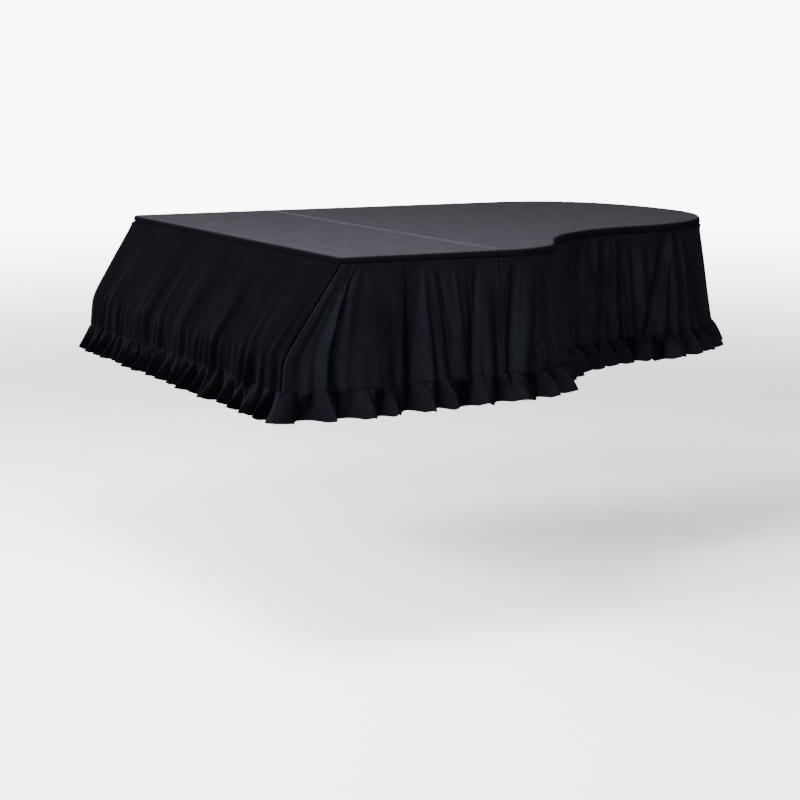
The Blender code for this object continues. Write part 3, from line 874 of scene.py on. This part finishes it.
def hang_frill(panel, sizes, colours, material):
    """One strip of the frill with its stitches."""
    start, end = seam_ends(panel)
    step = sizes.frill_row / FRILL_HEIGHT
    fine = [i * 0.0012 / FRILL_HEIGHT for i in range(1, 6)]
    rows = rows_between(0.0, 1.0, step, [-0.004 / FRILL_HEIGHT] + fine)
    mesh = bmesh.new()
    runs = runs_between(start, end, sizes.frill_column)
    lay_out(mesh, frill_place, runs, rows, painted_pocket_shade)
    name = "cloth_ruffle_" + panel.side
    piece = finish_sheet(name, "ruffle_" + panel.side, mesh, sizes, [material])
    sewn = sew("stitches_ruffle_" + panel.side, frill_lines(start, end), sizes, colours)
    return piece


# Top panels

ARC_CELL = 0.009
STRAIGHT_CELL = 0.014
BEND_STEPS = 5
BAND_ROWS = 4
RIM_INSET = 0.0135
TOP_SEAM_LINES = (0.0012, 0.0028, 0.0050, 0.0078, 0.0110, 0.0160)
TOP_SEAM_RIDGE = 0.0006
TOP_SEAM_RIDGE_AT = 0.0045
TOP_SEAM_RIDGE_WIDTH = 0.0040
TOP_SEAM_GROOVE_WIDTH = 0.0016
TOP_SLACK = 0.0013
TOP_RIPPLES = 0.0005
BAND_BULGE = 0.0009
BAND_TURN_IN = 0.0011
CORNER_RIDGE = 0.0008
BAND_FROM = 0.0050


def edge_stations():
    """Distances round the edge: a point where legs meet, and more along each leg."""
    stations = []
    for leg in LEGS:
        cell = ARC_CELL if leg.turn else STRAIGHT_CELL
        pieces = max(4, math.ceil(leg.length / cell))
        stations += [leg.start + leg.length * i / pieces for i in range(pieces)]
    return stations


def band_wobble(distance, depth):
    """How unevenly the turned-down edge stands, most where it goes round the curves."""
    curve = smooth((distance - 0.45) / 0.15) * (1.0 - smooth((distance - 2.9) / 0.3))
    size = 0.0005 + 0.0011 * curve
    return size * noise.noise(Vector((distance * 26.0, depth * 60.0, 31.0)))


def band_place(distance, inset, fall, share, lift=0.0):
    """A point of the rounded edge or of the band below it, from its fall and its share of the
    band's own depth."""
    x, y, out_x, out_y = edge_at(distance)
    drop = fall + (band_drop(distance) - BAND_ROUND) * share
    bulge = band_wobble(distance, drop) + BAND_BULGE * math.sin(math.pi * share)
    bulge -= BAND_TURN_IN * smooth((share - 0.7) / 0.3)
    out = bulge * (1.0 - inset / RIM_INSET) - inset + lift
    return Vector((x + out_x * out, y + out_y * out, SOLID_CLOTH - drop))


def band_rings(stations):
    """Rings of places from the rim of the flat down over the rounded edge to the band's lip."""
    turns = [math.radians(90.0 * i / BEND_STEPS) for i in range(BEND_STEPS + 1)]
    profile = [(RIM_INSET, 0.0, 0.0)]
    profile += [(BAND_ROUND * (1.0 - math.sin(a)), BAND_ROUND * (1.0 - math.cos(a)), 0.0)
                for a in turns]
    profile += [(0.0, BAND_ROUND, (i + 1) / BAND_ROWS) for i in range(BAND_ROWS)]
    return [[band_place(distance, inset, fall, share) for distance in stations]
            for inset, fall, share in profile]


def order_like(verts, grown):
    """New ring vertices in the order of the ring that they grew from."""
    new = {item for item in grown if isinstance(item, bmesh.types.BMVert)}
    ordered = []
    for vert in verts:
        partners = [edge.other_vert(vert) for edge in vert.link_edges]
        ordered.append(next(partner for partner in partners if partner in new))
    return ordered


def cut_flat(mesh, plane_co, plane_no):
    """Cut the flat faces alone along one plane."""
    flat = [face for face in mesh.faces if face.normal.z > 0.99 and face.calc_center_median().z
            > SOLID_CLOTH - 1e-5]
    geom = {item for face in flat for item in (face, *face.edges, *face.verts)}
    bmesh.ops.bisect_plane(mesh, geom=list(geom), dist=1e-6, plane_co=plane_co, plane_no=plane_no)


def flat_undulation(place, rim, keep):
    """Height of the flat above the lid: slack ripples, and the pressed seam across it."""
    away = rim.find(place)[2]
    free = smooth(away / 0.12)
    slow = noise.noise(Vector((place.x * 3.2, place.y * 4.6, 41.0)))
    quick = noise.noise(Vector((place.x * 11.0, place.y * 17.0, 47.0)))
    from_seam = (place.y - CROSS_SEAM_Y) * keep
    ridge = math.exp(-((from_seam - TOP_SEAM_RIDGE_AT) / TOP_SEAM_RIDGE_WIDTH) ** 2)
    groove = math.exp(-(from_seam / TOP_SEAM_GROOVE_WIDTH) ** 2)
    slack = (TOP_SLACK * slow + TOP_RIPPLES * quick) * free
    return slack + TOP_SEAM_RIDGE * (ridge - 0.2 * groove)


def inner_rim(stations):
    """The line just inside the rim, where the flat begins, and a tree to look it up by."""
    line = []
    for distance in stations:
        x, y, out_x, out_y = edge_at(distance)
        line.append(Vector((x - out_x * FLAT_INSET, y - out_y * FLAT_INSET, SOLID_CLOTH)))
    rim = kdtree.KDTree(len(line))
    for i, place in enumerate(line):
        rim.insert(place, i)
    rim.balance()
    return line, rim


def top_lines(keep):
    """The row along the band, and the one along the cross seam."""
    rim = inner_rim(edge_stations())[1]
    ends = (TREBLE_SEAM_EDGE + 0.002, SPINE_CORNER_AT - TREBLE_SEAM_EDGE - 0.002)
    if keep < 0:
        ends = (SPINE_CORNER_AT - TREBLE_SEAM_EDGE + 0.002, EDGE_LENGTH + TREBLE_SEAM_EDGE - 0.002)
    y = CROSS_SEAM_Y + keep * SEWN_BESIDE

    def on_band(distance):
        return band_place(distance, 0.0, BAND_ROUND, SEWN_DOWN_BAND, -THREAD_LIFT)

    def on_flat(x):
        place = Vector((x, y, SOLID_CLOTH))
        place.z += flat_undulation(place, rim, keep) - THREAD_LIFT
        return place

    reach = HALF_WIDTH - FLAT_INSET
    return [places_along(on_band, *ends)], [places_along(on_flat, -reach, reach)]


def top_mesh(keep, sizes):
    """One top panel: keep is -1 in front of the cross seam, 1 behind it."""
    mesh = bmesh.new()
    stations = edge_stations()
    start, rim = inner_rim(stations)
    verts = [mesh.verts.new(place) for place in start]
    mesh.faces.new(verts)
    edges = mesh.edges[:]
    for ring in band_rings(stations):
        grown = bmesh.ops.extrude_edge_only(mesh, edges=edges)["geom"]
        edges = [item for item in grown if isinstance(item, bmesh.types.BMEdge)]
        verts = order_like(verts, grown)
        for vert, place in zip(verts, ring):
            vert.co = place
    seam_y = CROSS_SEAM_Y + keep * JOINT_GAP / 2.0
    bmesh.ops.bisect_plane(mesh, geom=mesh.verts[:] + mesh.edges[:] + mesh.faces[:], dist=1e-6,
                           plane_co=(0.0, seam_y, 0.0), plane_no=(0.0, -keep, 0.0),
                           clear_outer=True)
    mesh.normal_update()
    cut_cells(mesh, seam_y, keep, sizes.top_cell)
    for vert in mesh.verts:
        if vert.co.z > SOLID_CLOTH - 1e-5:
            vert.co.z += flat_undulation(vert.co, rim, keep)
    mark_top(mesh)
    return mesh


def cut_cells(mesh, seam_y, keep, cell):
    """Cut the flat into cells, with closer lines beside the cross seam."""
    low = min(vert.co.y for vert in mesh.verts)
    high = max(vert.co.y for vert in mesh.verts)
    for line in TOP_SEAM_LINES:
        cut_flat(mesh, (0.0, seam_y + keep * line, 0.0), (0.0, 1.0, 0.0))
    for i in range(1, math.ceil((high - low) / cell)):
        y = low + i * cell
        if abs(y - seam_y) > TOP_SEAM_LINES[-1] + 0.004:
            cut_flat(mesh, (0.0, y, 0.0), (0.0, 1.0, 0.0))
    for i in range(math.ceil(2.0 * HALF_WIDTH / cell)):
        cut_flat(mesh, (-HALF_WIDTH + (i + 0.5) * cell, 0.0, 0.0), (1.0, 0.0, 0.0))


def mark_top(mesh):
    """Give a top panel its UV map in metres, its band's darker material, and painted shade on the
    band where it faces the front.
    """
    uv = mesh.loops.layers.uv.new("UVMap")
    for face in mesh.faces:
        for loop in face.loops:
            loop[uv].uv = loop.vert.co.xy
    bmesh.ops.recalc_face_normals(mesh, faces=mesh.faces[:])
    for face in mesh.faces:
        face.material_index = 1 if face.calc_center_median().z < SOLID_CLOTH - BAND_FROM else 0
    mesh.normal_update()
    lay = mesh.verts.layers.float.new("lay")
    for vert in mesh.verts:
        # Painted shade: the band is painted darker where it faces the front
        vert[lay] = max(-vert.normal.y, 0.0)


# Materials

KNIT_PITCH = 0.0011
SHEEN_WEIGHT = 0.006
SHEEN_ROUGHNESS = 0.42

# Painted shade on the folds: how far a fold's side faces along the run, and the colour's painted
# tone at both ends of that range
PAINTED_SHADE_RANGE = (-0.45, 0.55)
PAINTED_SHADE_TONES = (1.24, 0.30)


def node_group(name, inputs, outputs):
    """A fresh shader node group with named sockets, and its two end nodes."""
    group = bpy.data.node_groups.new(name, "ShaderNodeTree")
    for label, kind, value in inputs:
        socket = group.interface.new_socket(name=label, in_out="INPUT", socket_type=kind)
        if value is not None:
            socket.default_value = value
    for label, kind in outputs:
        group.interface.new_socket(name=label, in_out="OUTPUT", socket_type=kind)
    start = group.nodes.new("NodeGroupInput")
    end = group.nodes.new("NodeGroupOutput")
    return group, start, end


def add_node(tree, kind, links=(), **settings):
    """A node with its settings, and links into it as (input, output socket or value)."""
    node = tree.nodes.new(kind)
    for key, value in settings.items():
        setattr(node, key, value)
    for socket, source in links:
        if isinstance(source, bpy.types.NodeSocket):
            tree.links.new(source, node.inputs[socket])
        else:
            node.inputs[socket].default_value = source
    return node


def map_value(tree, value, low, high, to_low=0.0, to_high=1.0, eased=False):
    """A value moved from one range to another and kept inside it."""
    node = add_node(tree, "ShaderNodeMapRange", [
        ("Value", value), ("From Min", low), ("From Max", high), ("To Min", to_low),
        ("To Max", to_high)], interpolation_type="SMOOTHSTEP" if eased else "LINEAR")
    return node.outputs["Result"]


def work_out(tree, operation, *values):
    """The result of one sum on a few values."""
    return add_node(tree, "ShaderNodeMath", enumerate(values), operation=operation).outputs[0]


def noise_at(tree, place, scale, detail, **inputs):
    """Noise of this many waves for each metre."""
    links = [("Vector", place), ("Scale", scale), ("Detail", detail), *inputs.items()]
    return add_node(tree, "ShaderNodeTexNoise", links).outputs["Fac"]


def mix_colours(tree, share, first, second):
    """The second colour over the first, by a share; a Mix node has one output of each kind."""
    node = add_node(tree, "ShaderNodeMix", [("Factor", share), ("A", first), ("B", second)],
                    data_type="RGBA")
    return next(socket for socket in node.outputs if socket.type == "RGBA")


def relief(tree, strength, distance, height, **inputs):
    """The normal that a height gives, on top of an earlier one if there is one."""
    links = [("Strength", strength), ("Distance", distance), ("Height", height), *inputs.items()]
    return add_node(tree, "ShaderNodeBump", links).outputs["Normal"]


def brushed_marks(tree, place):
    """0 to 1: broad and small marks where the pile lies one way or the other."""
    broad = work_out(tree, "MULTIPLY", noise_at(tree, place, 7.0, 4.0, Distortion=0.6), 0.65)
    both = work_out(tree, "MULTIPLY_ADD", noise_at(tree, place, 60.0, 3.0), 0.35, broad)
    return map_value(tree, both, 0.38, 0.62)


def painted_top_light_share(tree, place):
    """0 to 1: painted light on the level top, patchy, and nothing elsewhere."""
    geometry = add_node(tree, "ShaderNodeNewGeometry")
    facing = add_node(tree, "ShaderNodeSeparateXYZ", [("Vector", geometry.outputs["Normal"])])
    spot = add_node(tree, "ShaderNodeSeparateXYZ", [("Vector", place)])
    level = map_value(tree, facing.outputs["Z"], 0.55, 0.99, eased=True)
    topmost = map_value(tree, spot.outputs["Z"], -0.002, 0.001, eased=True)
    level = work_out(tree, "MULTIPLY", level, topmost)
    drawn = add_node(tree, "ShaderNodeMapping", [("Vector", place), ("Scale", (1.0, 2.6, 1.0))])
    marks = noise_at(tree, drawn.outputs["Vector"], 9.0, 5.0, Roughness=0.65)
    return work_out(tree, "MULTIPLY", level, map_value(tree, marks, 0.3, 0.7, 0.74, 1.0))


def nap_and_painted_light_group():
    """Napped cloth: its marks and its fine grain, painted light on the level top, and painted shade
    on the folds, darker on the sides that face along the run."""
    group, start, end = node_group(
        "Nap and painted light",
        [("Place", "NodeSocketVector", None), ("Dark", "NodeSocketColor", (0, 0, 0, 1)),
         ("Light", "NodeSocketColor", (1, 1, 1, 1)), ("Painted top light", "NodeSocketColor", (1, 1, 1, 1)),
         ("Lay", "NodeSocketFloat", 0.0)],
        [("Colour", "NodeSocketColor"), ("Roughness", "NodeSocketFloat"),
         ("Height", "NodeSocketFloat")])
    place = start.outputs["Place"]
    brushed = brushed_marks(group, place)
    tone = mix_colours(group, brushed, start.outputs["Dark"], start.outputs["Light"])
    tone = mix_colours(group, painted_top_light_share(group, place), tone, start.outputs["Painted top light"])
    painted_shade_scale = map_value(group, start.outputs["Lay"], *PAINTED_SHADE_RANGE, *PAINTED_SHADE_TONES)
    shaded = add_node(group, "ShaderNodeVectorMath", [(0, tone), ("Scale", painted_shade_scale)],
                      operation="SCALE")
    group.links.new(shaded.outputs["Vector"], end.inputs["Colour"])
    group.links.new(map_value(group, brushed, 0.0, 1.0, 0.86, 0.96), end.inputs["Roughness"])
    group.links.new(noise_at(group, place, 900.0, 2.0), end.inputs["Height"])
    return group


def weave_group():
    """Fine rows of a warp-knitted ground, in the cloth's own UV map."""
    group, start, end = node_group(
        "Knitted ground",
        [("Place", "NodeSocketVector", None), ("Pitch", "NodeSocketFloat", KNIT_PITCH)],
        [("Height", "NodeSocketFloat")])
    parts = add_node(group, "ShaderNodeSeparateXYZ", [("Vector", start.outputs["Place"])])
    rows = []
    for axis in ("X", "Y"):
        across = work_out(group, "DIVIDE", parts.outputs[axis], start.outputs["Pitch"])
        turned = work_out(group, "MULTIPLY", across, 2.0 * math.pi)
        rows.append(work_out(group, "SINE", turned))
    group.links.new(work_out(group, "MULTIPLY", *rows), end.inputs["Height"])
    return group


def new_material(name):
    """A material without shine, with its node tree and its shader."""
    material = bpy.data.materials.new(name)
    material.use_nodes = True
    shader = material.node_tree.nodes["Principled BSDF"]
    shader.inputs["Specular IOR Level"].default_value = 0.0
    return material, material.node_tree, shader


def cloth_material(name, colours, cloth):
    """Matt napped cloth: its colour, roughness and relief change over the sheet; its colour carries
    painted light on the level top and painted shade on the folds.
    """
    material, tree, shader = new_material(name)
    place = add_node(tree, "ShaderNodeTexCoord").outputs["Object"]
    uv = add_node(tree, "ShaderNodeUVMap", uv_map="UVMap").outputs["UV"]
    lay = add_node(tree, "ShaderNodeAttribute", attribute_name="lay").outputs["Fac"]
    # The nap's colours are scaled by this copy's painted light or shade, and the attribute adds
    # painted shade on the folds
    nap = add_node(tree, "ShaderNodeGroup", [
        ("Place", place), ("Dark", [part * cloth.nap for part in colours.cloth_dark]),
        ("Light", [part * cloth.nap for part in colours.cloth_light]), ("Painted top light", colours.painted_top_light),
        ("Lay", work_out(tree, "MULTIPLY", lay, cloth.lay))],
        node_tree=bpy.data.node_groups.get("Nap and painted light") or nap_and_painted_light_group())
    weave = add_node(tree, "ShaderNodeGroup", [("Place", uv), ("Pitch", KNIT_PITCH)],
                     node_tree=bpy.data.node_groups.get("Knitted ground") or weave_group())
    ground = relief(tree, 0.12, 0.0002, weave.outputs["Height"])
    pile = relief(tree, 0.35, 0.0004, nap.outputs["Height"], Normal=ground)
    tree.links.new(nap.outputs["Colour"], shader.inputs["Base Color"])
    tree.links.new(nap.outputs["Roughness"], shader.inputs["Roughness"])
    tree.links.new(pile, shader.inputs["Normal"])
    shader.inputs["Sheen Weight"].default_value = SHEEN_WEIGHT
    shader.inputs["Sheen Roughness"].default_value = SHEEN_ROUGHNESS
    shader.inputs["Sheen Tint"].default_value = colours.sheen
    return material


def thread_material(name, colour):
    """Twisted thread, a little smoother than the nap."""
    material, tree, shader = new_material(name)
    place = add_node(tree, "ShaderNodeTexCoord").outputs["Object"]
    twist = noise_at(tree, place, 1500.0, 1.0)
    tree.links.new(map_value(tree, twist, 0.0, 1.0, 0.65, 0.82), shader.inputs["Roughness"])
    tree.links.new(relief(tree, 0.4, 0.0002, twist), shader.inputs["Normal"])
    shader.inputs["Base Color"].default_value = colour
    return material


# Lit and shaded copies of one cloth: how much lighter or darker each copy's colour is painted, as
# light falls on that part of the cover, and how strongly its painted shade shows which way the
# folds face
Cloth = namedtuple("Cloth", "nap lay")
PAINTED_LIGHT_AND_SHADE = {
    "cover_top": Cloth(1.0, 0.0),
    "cover_band": Cloth(0.72, 0.45),
    "cover_drop": Cloth(1.16, 0.8),
    "cover_front": Cloth(0.44, 0.5),
    "cover_frill": Cloth(1.0, 0.9),
    "cover_frill_front": Cloth(0.85, 0.9),
}


def material_for(name, colours):
    """The named material, built with its shared groups when it is first asked for."""
    if name in bpy.data.materials:
        return bpy.data.materials[name]
    if name in PAINTED_LIGHT_AND_SHADE:
        return cloth_material(name, colours, PAINTED_LIGHT_AND_SHADE[name])
    return thread_material(name, colours.thread if name == "sewing_thread" else
                           colours.painted_light_thread)


# Stage

CAMERA_AT = (5.7513, -3.1523, 0.5359)
CAMERA_YAW = 63.38
CAMERA_PITCH = 9.18
CAMERA_LENS = 100.6
CAMERA_SENSOR = 36.0
FLOOR_Z = -1.009
FLOOR_SIZE = 60.0
FLOOR_GLOW_FROM = 3.0
FLOOR_GLOW_TO = 14.0
FLOOR_ROUGHNESS = 0.9
FLOOR_SHINE = 0.1


def place_camera(scene):
    """The camera, level and looking a little down on the cover."""
    yaw, pitch = math.radians(CAMERA_YAW), math.radians(CAMERA_PITCH)
    towards = Vector((-math.sin(yaw) * math.cos(pitch), math.cos(yaw) * math.cos(pitch),
                      -math.sin(pitch)))
    data = bpy.data.cameras.new("camera")
    data.lens = CAMERA_LENS
    data.sensor_width = CAMERA_SENSOR
    data.clip_end = 200.0
    camera = bpy.data.objects.new("camera", data)
    scene.collection.objects.link(camera)
    camera.location = CAMERA_AT
    camera.rotation_mode = "QUATERNION"
    camera.rotation_quaternion = towards.to_track_quat("-Z", "Y")
    scene.camera = camera


def lay_floor(scene, colours):
    """A plain floor that grows as light as the backdrop far away."""
    mesh = bmesh.new()
    bmesh.ops.create_grid(mesh, x_segments=1, y_segments=1, size=FLOOR_SIZE / 2.0)
    bmesh.ops.translate(mesh, verts=mesh.verts[:], vec=(0.0, 0.0, FLOOR_Z))
    data = bpy.data.meshes.new("floor")
    mesh.to_mesh(data)
    mesh.free()
    floor = bpy.data.objects.new("floor", data)
    scene.collection.objects.link(floor)
    material, tree, shader = new_material("studio_floor")
    place = add_node(tree, "ShaderNodeTexCoord").outputs["Object"]
    away = add_node(tree, "ShaderNodeVectorMath", [(0, place)], operation="LENGTH")
    glow = map_value(tree, away.outputs["Value"], FLOOR_GLOW_FROM, FLOOR_GLOW_TO, 0.0,
                     BACKDROP_LIGHT - 1.0, eased=True)
    tree.links.new(glow, shader.inputs["Emission Strength"])
    shader.inputs["Emission Color"].default_value = (1.0, 1.0, 1.0, 1.0)
    shader.inputs["Base Color"].default_value = colours.floor
    shader.inputs["Roughness"].default_value = FLOOR_ROUGHNESS
    shader.inputs["Specular IOR Level"].default_value = FLOOR_SHINE
    data.materials.append(material)


Light = namedtuple("Light", "name place aim width height power")
LIGHTS = (
    Light("front key", (-1.8, -4.9, 1.5), (-0.1, -0.9, -0.2), 2.0, 2.0, 1150.0),
    Light("side key", (3.2, -4.4, 1.5), (0.6, -0.3, -0.2), 1.4, 1.4, 385.0),
    Light("fill", (4.9, 1.2, 0.8), (0.4, 0.2, -0.2), 1.6, 1.6, 205.0),
    Light("overhead", (0.9, -1.4, 1.9), (0.5, -0.8, 0.0), 1.2, 1.2, 190.0),
)
ROOM_LIGHT = 0.8
BACKDROP_LIGHT = 9.0
BACKDROP_TOWARDS = (-0.87, 0.44, -0.1)
BACKDROP_FADE = (0.70, 0.96)


def light_room(scene):
    """Soft boxes, an even room and a brighter backdrop behind the cover."""
    world = bpy.data.worlds.new("studio")
    scene.world = world
    world.use_nodes = True
    tree = world.node_tree
    towards = add_node(tree, "ShaderNodeTexCoord")
    facing = add_node(tree, "ShaderNodeVectorMath", [(0, towards.outputs["Generated"]),
                                                     (1, BACKDROP_TOWARDS)],
                      operation="DOT_PRODUCT")
    strength = map_value(tree, facing.outputs["Value"], *BACKDROP_FADE, ROOM_LIGHT,
                         BACKDROP_LIGHT, eased=True)
    background = tree.nodes["Background"]
    background.inputs["Color"].default_value = (1.0, 1.0, 1.0, 1.0)
    tree.links.new(strength, background.inputs["Strength"])
    for light in LIGHTS:
        data = bpy.data.lights.new(light.name, "AREA")
        data.shape = "RECTANGLE"
        data.size = light.width
        data.size_y = light.height
        data.energy = light.power
        lamp = bpy.data.objects.new(light.name, data)
        scene.collection.objects.link(lamp)
        lamp.location = light.place
        lamp.rotation_mode = "QUATERNION"
        aim = Vector(light.aim) - Vector(light.place)
        lamp.rotation_quaternion = aim.to_track_quat("-Z", "Y")


class PIANOCOVER_OT_tops(bpy.types.Operator):
    """Cut and lay the two top panels with their turned-down edge"""
    bl_idname = "piano_cover.tops"
    bl_label = "Top Panels"

    def execute(self, context):
        sizes, colours = context.scene.cover_sizes, context.scene.cover_colours
        materials = [material_for("cover_top", colours), material_for("cover_band", colours)]
        for side, keep, flat, area in (("front", -1, (1.55, 0.50), 0.70),
                                       ("main", 1, (1.55, 1.22), 1.33)):
            mesh = top_mesh(keep, sizes)
            piece = finish_sheet("cloth_top_" + side, "top_" + side, mesh, sizes, materials)
            band, seam = top_lines(keep)
            sewn = [sew("stitches_band_" + side, band, sizes, colours),
                    sew("stitches_seam_" + side, seam, sizes, colours,
                        "painted_light_thread")]
        return {"FINISHED"}


class PIANOCOVER_OT_skirts(bpy.types.Operator):
    """Hang the drop panels round the lid's edge"""
    bl_idname = "piano_cover.skirts"
    bl_label = "Drop Panels"

    def execute(self, context):
        sizes, colours = context.scene.cover_sizes, context.scene.cover_colours
        material = material_for("cover_drop", colours)
        front_material = material_for("cover_front", colours)
        for panel in PANELS:
            hang_skirt(panel, sizes, colours,
                       front_material if panel.side == "front" else material)
        return {"FINISHED"}


class PIANOCOVER_OT_frills(bpy.types.Operator):
    """Hang the gathered frill under the drop panels"""
    bl_idname = "piano_cover.frills"
    bl_label = "Frill"

    def execute(self, context):
        sizes, colours = context.scene.cover_sizes, context.scene.cover_colours
        material = material_for("cover_frill", colours)
        front_material = material_for("cover_frill_front", colours)
        for panel in PANELS:
            hang_frill(panel, sizes, colours,
                       front_material if panel.side == "front" else material)
        return {"FINISHED"}


class PIANOCOVER_OT_stage(bpy.types.Operator):
    """Lay the floor and set the lights and the camera"""
    bl_idname = "piano_cover.stage"
    bl_label = "Stage"

    def execute(self, context):
        lay_floor(context.scene, context.scene.cover_colours)
        light_room(context.scene)
        place_camera(context.scene)
        return {"FINISHED"}


class VIEW3D_PT_piano_cover(bpy.types.Panel):
    """Sizes, colours and steps of the cover"""
    bl_label = "Grand Piano Cover"
    bl_space_type = "VIEW_3D"
    bl_region_type = "UI"
    bl_category = "Piano Cover"

    def draw(self, context):
        for group in (context.scene.cover_sizes, context.scene.cover_colours):
            box = self.layout.box()
            for name in group.__annotations__:
                box.prop(group, name)
        for operator in OPERATORS:
            self.layout.operator(operator.bl_idname)


OPERATORS = (PIANOCOVER_OT_tops, PIANOCOVER_OT_skirts, PIANOCOVER_OT_frills,
             PIANOCOVER_OT_stage)
CLASSES = (CoverSizes, CoverColours, *OPERATORS, VIEW3D_PT_piano_cover)


def register():
    for cls in CLASSES:
        bpy.utils.register_class(cls)
    bpy.types.Scene.cover_sizes = bpy.props.PointerProperty(type=CoverSizes)
    bpy.types.Scene.cover_colours = bpy.props.PointerProperty(type=CoverColours)


def unregister():
    del bpy.types.Scene.cover_colours
    del bpy.types.Scene.cover_sizes
    for cls in reversed(CLASSES):
        bpy.utils.unregister_class(cls)


def main():
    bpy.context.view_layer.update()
    register()
    bpy.ops.piano_cover.tops()
    bpy.ops.piano_cover.skirts()
    bpy.ops.piano_cover.frills()
    bpy.ops.piano_cover.stage()


if __name__ == "__main__":
    main()
